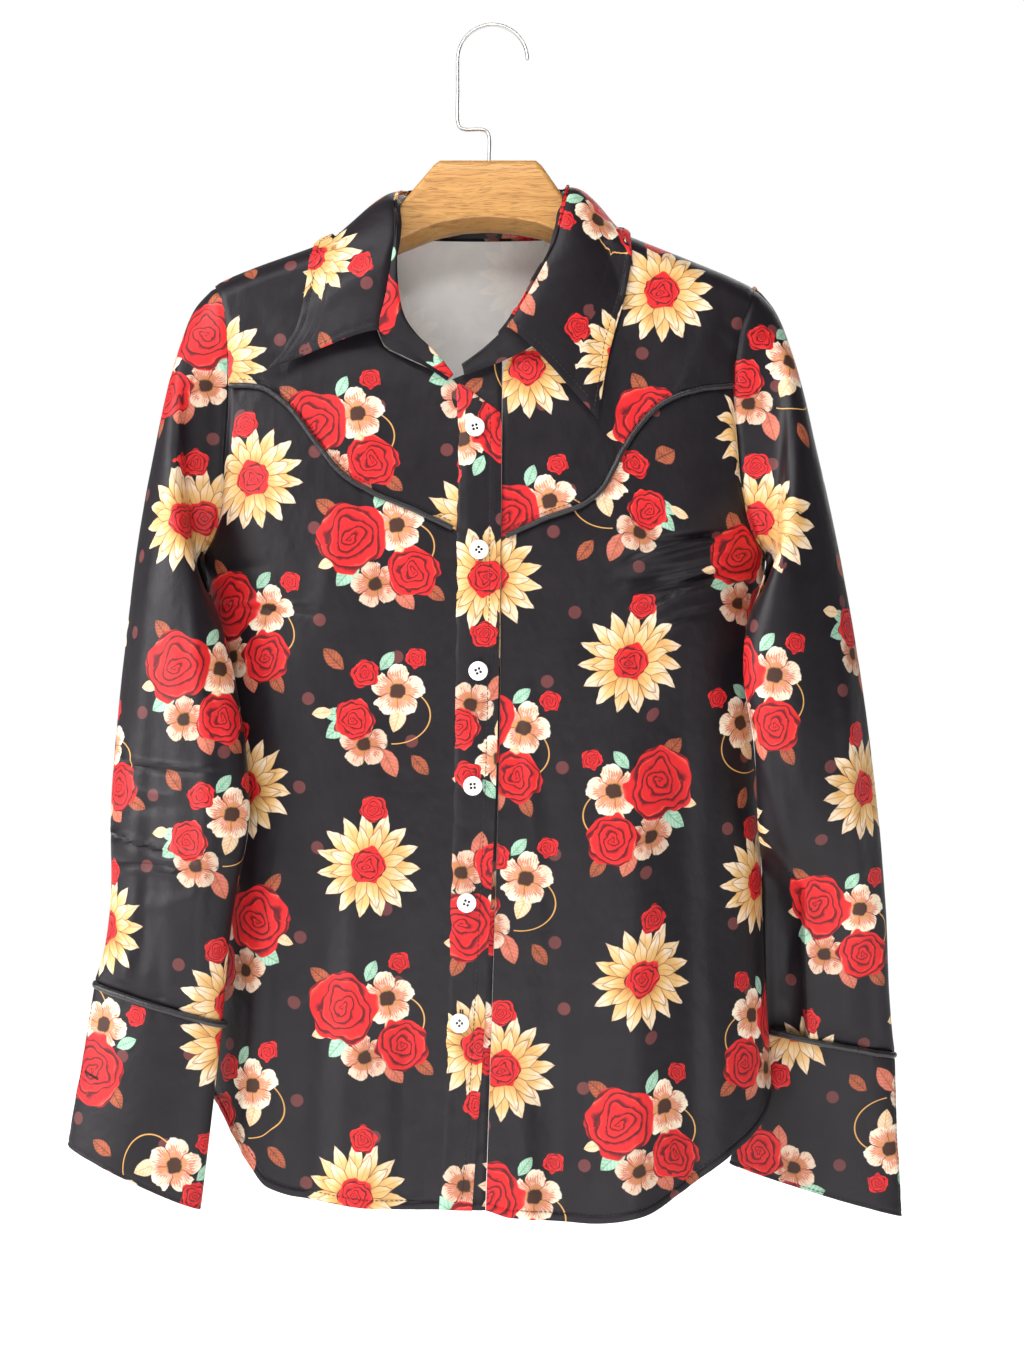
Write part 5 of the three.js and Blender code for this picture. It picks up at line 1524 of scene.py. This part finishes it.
for side in ("right", "left"):
    section = cuffRows[side][:1]
    turn = lerp(cuff["endTurn"] * 2, 1 - cuff["endTurn"] * 2, np.linspace(0, 1, 81))
    points, before, after = (sectionPoint(section, turn + step)[:, 0] for step in (0, -0.01, 0.01))
    out = unit(np.cross(after - before, (0, 0, -1.0)))
    middle = (np.array(section[0]["outer"], float) + np.array(section[0]["inner"], float)) / 2
    out *= np.sign(np.sum(out * (points - middle), axis=1, keepdims=True))
    # its two ends turn in to the cuff's opening
    fromEnd = np.minimum(np.arange(81), 80 - np.arange(81))
    out *= (piping["cuffRadius"] - piping["cuffSunk"]) * lerp(-0.4, 1.0, smoothstep(fromEnd, 0, 5))[:, None]
    path = cordPath(points + out, piping["steps"])
    addPiping("cuffPiping" + side.capitalize(), path, piping["cuffRadius"], "cuff_piping_" + side)
print("piping made")

buttonPlaces = table(
    "x z", (-11, -276), (-8.5, -356), (-9, -435), (-12.5, -510), (-16.5, -586), (-21, -664))
button = dict(
    radius=6.25, thick=2.2, rim=1.1, dish=0.45, edgeRound=0.35, holeReach=1.7, holeRadius=0.85,
    holeDepth=1.35, seat=0.45, turns=(12, -38, 25, 4, -20, 41))
buttonhole = dict(shift=1.2, above=8.6, below=6.4, bars=46, lip=0.75, bar=0.62, endBars=5, endApart=0.55)


def buttonShape():
    # a turned four-hole button: raised rim, shallow dish, and the holes pressed deep into it
    n = 37
    span = np.linspace(-1, 1, n)
    u, v = np.meshgrid(span, span)
    # a square grid wrapped on to a disc keeps its faces even
    x = u * np.sqrt(1 - v * v / 2) * button["radius"]
    y = v * np.sqrt(1 - u * u / 2) * button["radius"]
    r = np.hypot(x, y)
    rimStart = button["radius"] - button["rim"]
    roundedEdge = smoothstep(r, button["radius"] - 0.6, button["radius"]) ** 1.5
    top = button["thick"] - button["edgeRound"] * roundedEdge
    top -= button["dish"] * (1 - smoothstep(r, rimStart - 1.1, rimStart))
    for angle in np.arange(4) * math.pi / 2 + math.pi / 4:
        hole = np.hypot(x - button["holeReach"] * math.cos(angle), y - button["holeReach"] * math.sin(angle))
        wall = smoothstep(hole, button["holeRadius"] * 0.8, button["holeRadius"] * 1.2)
        top -= button["holeDepth"] * (1 - wall)
    bottom = 0.3 * smoothstep(r, button["radius"] - 0.8, button["radius"]) ** 1.5
    topPoints = np.stack([x, y, top], -1).reshape(-1, 3)
    lowPoints = np.stack([x, y, bottom], -1).reshape(-1, 3)
    ids = np.arange(n * n).reshape(n, n)
    a, b, c, d = ids[:-1, :-1], ids[:-1, 1:], ids[1:, 1:], ids[1:, :-1]
    upper = np.stack([a, b, c, d], -1).reshape(-1, 4)
    lower = np.stack([a, d, c, b], -1).reshape(-1, 4) + n * n
    edge = np.concatenate([ids[0, :-1], ids[:-1, -1], ids[-1, :0:-1], ids[:0:-1, 0]])
    after = np.roll(edge, -1)
    wall = np.stack([edge, edge + n * n, after + n * n, after], -1)
    return np.concatenate([topPoints, lowPoints]), np.concatenate([upper, lower, wall]).tolist()


def buttonMaterial():
    material, tree, look = newMaterial("pearly white button")
    place = objectPlace(tree)
    cloud = noiseNode(vectorNode("SCALE", place, 260.0), 1.0, 3.0)
    base = mixColour(cloud, (0.78, 0.77, 0.75, 1), (0.93, 0.925, 0.91, 1))
    x, y, z = splitVector(vectorNode("SCALE", place, 1000.0))
    # thread and shadow in the holes
    inside = mathNode("LESS_THAN", vectorNode("LENGTH", joinVector(x, y)), 3.4)
    deep = softEdge(1.25 - z, 0.4) * inside * (z > 0.2)
    feed(mixColour(deep, base, colour("thread")), look["Base Color"])
    feed(between(cloud, 0.16, 0.3), look["Roughness"])
    look["Coat Weight"].default_value = 0.3
    look["Coat Roughness"].default_value = 0.1
    return material


def placketSurface(x, z, lift=0.0):
    share = (x - placketSeam(z)) / (placketEdge(z) - placketSeam(z))
    normal = faceNormal(x, z)
    return onFront(x, z) + normal * (placketLift(share, z) + lift)[..., None], normal


pearl = buttonMaterial()
buttonPoints, buttonFaces = buttonShape()
for number, (place, turn) in enumerate(zip(buttonPlaces, button["turns"]), 1):
    x, z = np.array([float(place["x"])]), np.array([float(place["z"])])
    spot, normal = placketSurface(x, z, button["seat"])
    piece = newMesh("button" + str(number), buttonPoints, buttonFaces, sharp=50)
    piece.data.materials.append(pearl)
    faced = Vector((0, 0, 1)).rotation_difference(Vector(normal[0])).to_matrix().to_4x4()
    spin = Matrix.Rotation(math.radians(turn), 4, "Z")
    piece.matrix_world = Matrix.Translation(Vector(spot[0]) * mm) @ faced @ spin
    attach(piece, "root")
    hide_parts("button_" + str(number))
print("buttons made")

threads = []
for place in buttonPlaces:
    # an upright worked hole: thread bars side by side along both lips, closed by bars at each end
    x = place["x"] + buttonhole["shift"]
    top, foot = place["z"] + buttonhole["above"], place["z"] - buttonhole["below"]
    for lip in (x - buttonhole["lip"], x + buttonhole["lip"]):
        for z in np.linspace(top, foot, buttonhole["bars"]):
            threads.append(((lip - buttonhole["bar"], z), (lip + buttonhole["bar"], z)))
    for z in (top + 0.4, foot - 0.4):
        for k in range(buttonhole["endBars"]):
            bar = x - 1.4 + k * buttonhole["endApart"]
            threads.append(((bar, z - 0.8), (bar, z + 0.8)))
for thread in threads:
    spots, normals = zip(*(placketSurface(np.array([x]), np.array([z])) for x, z in thread))
    length = math.dist(*thread)
    stitchLine(np.concatenate(spots), np.concatenate(normals), length * 0.86, length * 0.07, 0.17, 0.0)


def edgeLine(grid, edge, off):
    # a line `off` mm in from an edge of a cloth grid, with its normals
    lines = edgeDistances(grid)[edge]
    if edge in ("top", "foot"):
        places = (np.argmin(np.abs(lines - off), axis=0), np.arange(grid.shape[1]))
    else:
        places = (np.arange(grid.shape[0]), np.argmin(np.abs(lines - off), axis=1))
    return grid[places], gridNormals(grid)[places]


def smoothPath(points):
    for _ in range(6):
        points = points.copy()
        points[1:-1] = (points[:-2] + 2 * points[1:-1] + points[2:]) / 4
    return points


def hemStitches(face, hemLine, x0, x1, way):
    x = np.linspace(x0, x1, 260)
    z = hemLine(x)
    slope = np.gradient(z, x)
    steep = np.sqrt(1 + slope ** 2)
    x, z = x - slope / steep * sewing["hem"]["hem"], z + sewing["hem"]["hem"] / steep
    stitchLine(np.stack([x, face(x, z), z], -1), faceNormal(x, z, face) * way, lift=-0.1)


hemStitches(frontFace, hem, -190, -37, 1)
hemStitches(frontFace, hem, 14, 184, 1)
hemStitches(backFace, backHem, -184, 186, -1)
z = np.linspace(-262, -780, 600)
stitchLine(*placketSurface(placketEdge(z) - placket["groove"], z), lift=-0.12)
for grid, edge in ((leaf, "foot"), (leaf[3:-4], "first"), (leaf[3:-4], "last")):
    points, normals = edgeLine(grid, edge, sewing["stitched"]["hem"])
    stitchLine(smoothPath(points), normals, lift=-0.1)
for side, way in (("right", -1), ("left", 1)):
    for edge in ("top", "foot", "first", "last"):
        points, normals = edgeLine(cuffGrids[side], edge, cuff["endStitch"])
        stitchLine(smoothPath(points[2:-2]), normals[2:-2] * way, lift=-0.1)
# the worked hole that shows at the right cuff's outer edge
cuffFront = cuffGrids["right"][:, :70].reshape(-1, 3)
cuffOut = -gridNormals(cuffGrids["right"])[:, :70].reshape(-1, 3)
for k in range(24):
    x, z = lerp(-268.0, -258.0, k / 23), lerp(-698.5, -702.5, k / 23)
    nearest = np.argmin(np.hypot(cuffFront[:, 0] - x, cuffFront[:, 2] - z))
    middle, out = np.array([x, cuffFront[nearest, 1], z]), cuffOut[nearest]
    stitchLine([middle - (0.6, 0, 1.1), middle + (0.6, 0, 1.1)], [out, out], 2.2, 0.15, 0.24, 0.0)
stitching = stitchMesh("stitching")


def threadMaterial():
    material, tree, look = newMaterial("black sewing thread")
    twist = noiseNode(vectorNode("SCALE", objectPlace(tree), 2600.0), 1.0, 2.0)
    feed(mixColour(twist, colour("thread"), colour("ground")), look["Base Color"])
    feed(between(twist, 0.45, 0.65), look["Roughness"])
    return material


stitching.data.materials.append(threadMaterial())
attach(stitching, "root")
print("stitching made")

# the hanger's arms, by the share of the way from tip to core, and its core
hangerRows = table(
    "share deep half power", (0, 8, 7, 2), (0.0505, 13, 13, 2), (0.333, 17, 16, 2),
    (0.737, 18, 17, 2.1), (1, 19, 18, 2.2))
hangerCore = table(
    "x top bottom half power",
    (-67, -136, -153, 19, 4), (-62, -124, -150, 20, 8), (-39, -97, -141, 20, 9), (-35, -94, -140, 20, 9),
    (-20, -94, -137, 20, 9), (-2, -94, -136, 20, 9), (16, -94, -137.5, 20, 9), (29, -94, -140, 20, 9),
    (33, -97.5, -141, 20, 9), (48, -119, -147, 20, 8), (54, -134.5, -150, 19, 4))
hanger = dict(
    arms={"right": (-183, -84), "left": (173, 70)}, seat=1.9, sides=88, steps=170, crease=0.6,
    hollow=10, hollowY=-7, hollowReach=8.5, hollowFrom=(-66, -56), hollowTo=(44, 53))


def armSections(side):
    tip, root = hanger["arms"][side]
    rows = []
    for row in hangerRows:
        x = lerp(tip, root, row["share"])
        top = float(ridge(x)) - hanger["seat"]
        rows.append((x, top, top - row["deep"], row["half"], row["power"]))
    return rows


core = [tuple(row.values()) for row in hangerCore]
sections = np.array(armSections("right") + core + armSections("left")[::-1])
# the core's own corners stay crisp
corners = sections[3:-3, 0]
woodX = np.unique(np.concatenate([
    np.linspace(sections[0, 0], sections[-1, 0], hanger["steps"]), sections[:, 0],
    corners - hanger["crease"], corners + hanger["crease"]]))
angles = (np.arange(hanger["sides"]) + 0.5) / hanger["sides"] * 2 * math.pi
cosine, sine = np.cos(angles), np.sin(angles)
woodGrid = []
for x in woodX:
    top, bottom, half, power = (np.interp(x, sections[:, 0], column) for column in sections.T[1:])
    # a section between an oval and a box, as `power` grows
    reach = (np.abs(cosine) ** power + np.abs(sine) ** power) ** (-1 / power)
    y = half * reach * cosine
    z = (top + bottom) / 2 + (top - bottom) / 2 * reach * sine
    # the core's underside is hollowed, deeper in front than behind
    inCore = smoothstep(x, *hanger["hollowFrom"]) * (1 - smoothstep(x, *hanger["hollowTo"]))
    hollow = hanger["hollow"] * bell(y - hanger["hollowY"], hanger["hollowReach"])
    z += inCore * hollow * smoothstep(-sine, 0.45, 0.75)
    woodGrid.append(np.stack([np.full_like(y, x), y, z], -1))
woodGrid = np.array(woodGrid)
sides, count = hanger["sides"], len(woodGrid)
woodFaces = tubeFaces(count, sides)
woodFaces += [tuple(range(sides))[::-1], tuple(range((count - 1) * sides, count * sides))]
wood = newMesh("hangerWood", woodGrid.reshape(-1, 3), woodFaces, sharp=32)
woodTones = [(0.2, (0.31, 0.125, 0.025)), (0.42, (0.42, 0.195, 0.044)), (0.58, (0.475, 0.237, 0.058)),
             (0.8, (0.535, 0.288, 0.08))]


def woodMaterial():
    material, tree, look = newMaterial("oiled golden wood")
    x, y, z = splitVector(vectorNode("SCALE", objectPlace(tree), 1000.0))
    # the grain runs along the hanger, wandering a little
    wander = noiseNode(joinVector(x * 0.02, z * 0.05, y), 1.0, 2.0)
    level = wander * 9 + (y * 0.35 + z)
    rings = noiseNode(joinVector(x * 0.008, level * 0.3, 0.0), 1.0, 4.0)
    pores = noiseNode(joinVector(x * 0.09, level * 1.9, y * 0.6), 1.0, 2.0)
    dark = softEdge(pores - 0.62, 0.12)
    base = mixColour(dark * 0.55, rampNode(rings, *woodTones), (0.17, 0.07, 0.02, 1))
    feed(base, look["Base Color"])
    feed(between(pores, 0.36, 0.56), look["Roughness"])
    feed(bumpNormal(rings * 0.4 - dark, 0.00018), look["Normal"])
    look["Coat Weight"].default_value = 0.12
    look["Coat Roughness"].default_value = 0.3
    return material


wood.data.materials.append(woodMaterial())
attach(wood, "root")
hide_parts("hanger_wood")

hook = dict(bend=23.5, wide=2.4, deep=4.5, tipDrop=22.3, shankFoot=-64, jogHeight=-69.6, stemX=-2.3,
            stemFoot=-108, corner=5)
bend, tipDrop = hook["bend"], hook["tipDrop"]
hookPoints = [(bend * math.cos(a), 0, bend * math.sin(a) - tipDrop) for a in np.linspace(0, math.pi, 25)]
corner, turnIn = hook["corner"], hook["corner"] * 0.3
hookPoints += [(x, 0, z) for x, z in (
    (-bend, (hook["shankFoot"] - tipDrop) / 2), (-bend, hook["shankFoot"]),
    (-bend + turnIn, hook["jogHeight"] + turnIn), (-bend + corner, hook["jogHeight"]),
    (hook["stemX"] - corner, hook["jogHeight"]), (hook["stemX"] - turnIn, hook["jogHeight"] - turnIn),
    (hook["stemX"], hook["jogHeight"] - corner),
    (hook["stemX"], (hook["jogHeight"] + hook["stemFoot"]) / 2),
    (hook["stemX"], hook["stemFoot"]))]
wire = cordMesh("hangerHook", cordPath(hookPoints, 420), hook["wide"] / 2, hook["deep"] / 2, 20)


def wireMaterial():
    material, tree, look = newMaterial("brushed nickel wire")
    streaks = noiseNode(vectorNode("MULTIPLY", objectPlace(tree), (900.0, 900.0, 160.0)), 1.0, 3.0)
    feed(mixColour(streaks, (0.42, 0.41, 0.39, 1), (0.66, 0.65, 0.62, 1)), look["Base Color"])
    feed(between(streaks, 0.24, 0.42), look["Roughness"])
    look["Metallic"].default_value = 1.0
    return material


wire.data.materials.append(wireMaterial())
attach(wire, "root")
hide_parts("hanger_hook")
print("hanger made")

ambient = 0.19
world = bpy.data.worlds.new("studio")
bpy.context.scene.world = world
world.use_nodes = True
background = world.node_tree.nodes["Background"]
rays = world.node_tree.nodes.new("ShaderNodeLightPath")
# plain white to the camera, dimmer as a light
seen = Signal(rays.outputs["Is Camera Ray"])
feed(between(seen, ambient, 1.0), background.inputs["Strength"])
background.inputs["Color"].default_value = (1, 1, 1, 1)

lamps = table(
    "name place aim size power",
    ("key softbox", (-2.15, -1.0, 0.25), (0, 0, -0.45), (1.2, 1.7), 78),
    ("top softbox", (-0.6, -1.2, 1.2), (0, 0, -0.4), (1.2, 0.8), 18),
    ("front card", (0.1, -1.5, -1.0), (0, 0, -0.6), (0.7, 0.5), 6),
    ("neck card", (-0.01, -0.42, 0.1), (-0.005, 0.03, -0.2), (0.14, 0.1), 0.75),
    ("back softbox", (0.5, 1.9, 0.6), (0, 0, -0.4), (1.6, 1.6), 20))
for row in lamps:
    lamp = bpy.data.lights.new(row["name"], "AREA")
    lamp.shape = "RECTANGLE"
    lamp.size, lamp.size_y = row["size"]
    lamp.energy = row["power"]
    lampObject = bpy.data.objects.new(row["name"], lamp)
    bpy.context.collection.objects.link(lampObject)
    lampObject.location = row["place"]
    aim = Vector(row["aim"]) - Vector(row["place"])
    lampObject.rotation_euler = aim.to_track_quat("-Z", "Y").to_euler()

studio = dict(reach=12.0, floor=-1.25, glow=0.85)
corners = [(x * studio["reach"], y * studio["reach"], studio["floor"])
           for x, y in ((-1, -1), (1, -1), (1, 1), (-1, 1))]
floorMesh = bpy.data.meshes.new("studioFloor")
floorMesh.from_pydata(corners, [], [(0, 1, 2, 3)])
floor = bpy.data.objects.new("studioFloor", floorMesh)
bpy.context.collection.objects.link(floor)
floorMaterial, floorTree, floorLook = newMaterial("pale floor")
unevenness = noiseNode(objectPlace(floorTree), 3.0, 2.0)
feed(mixColour(unevenness, (0.86, 0.86, 0.86, 1), (0.9, 0.9, 0.9, 1)), floorLook["Base Color"])
floorLook["Roughness"].default_value = 0.9
floorLook["Emission Color"].default_value = (1, 1, 1, 1)
floorLook["Emission Strength"].default_value = studio["glow"]
floorMesh.materials.append(floorMaterial)

view = dict(place=(0.013, -1.4, -0.4426), sensor=36, lens=54.72)
cameraData = bpy.data.cameras.new("camera")
cameraData.sensor_fit = "VERTICAL"
cameraData.sensor_height = view["sensor"]
cameraData.lens = view["lens"]
camera = bpy.data.objects.new("camera", cameraData)
bpy.context.collection.objects.link(camera)
camera.location = view["place"]
camera.rotation_euler = (math.pi / 2, 0, 0)
bpy.context.scene.camera = camera
bpy.context.scene.view_settings.view_transform = "Standard"
print("light and camera set")
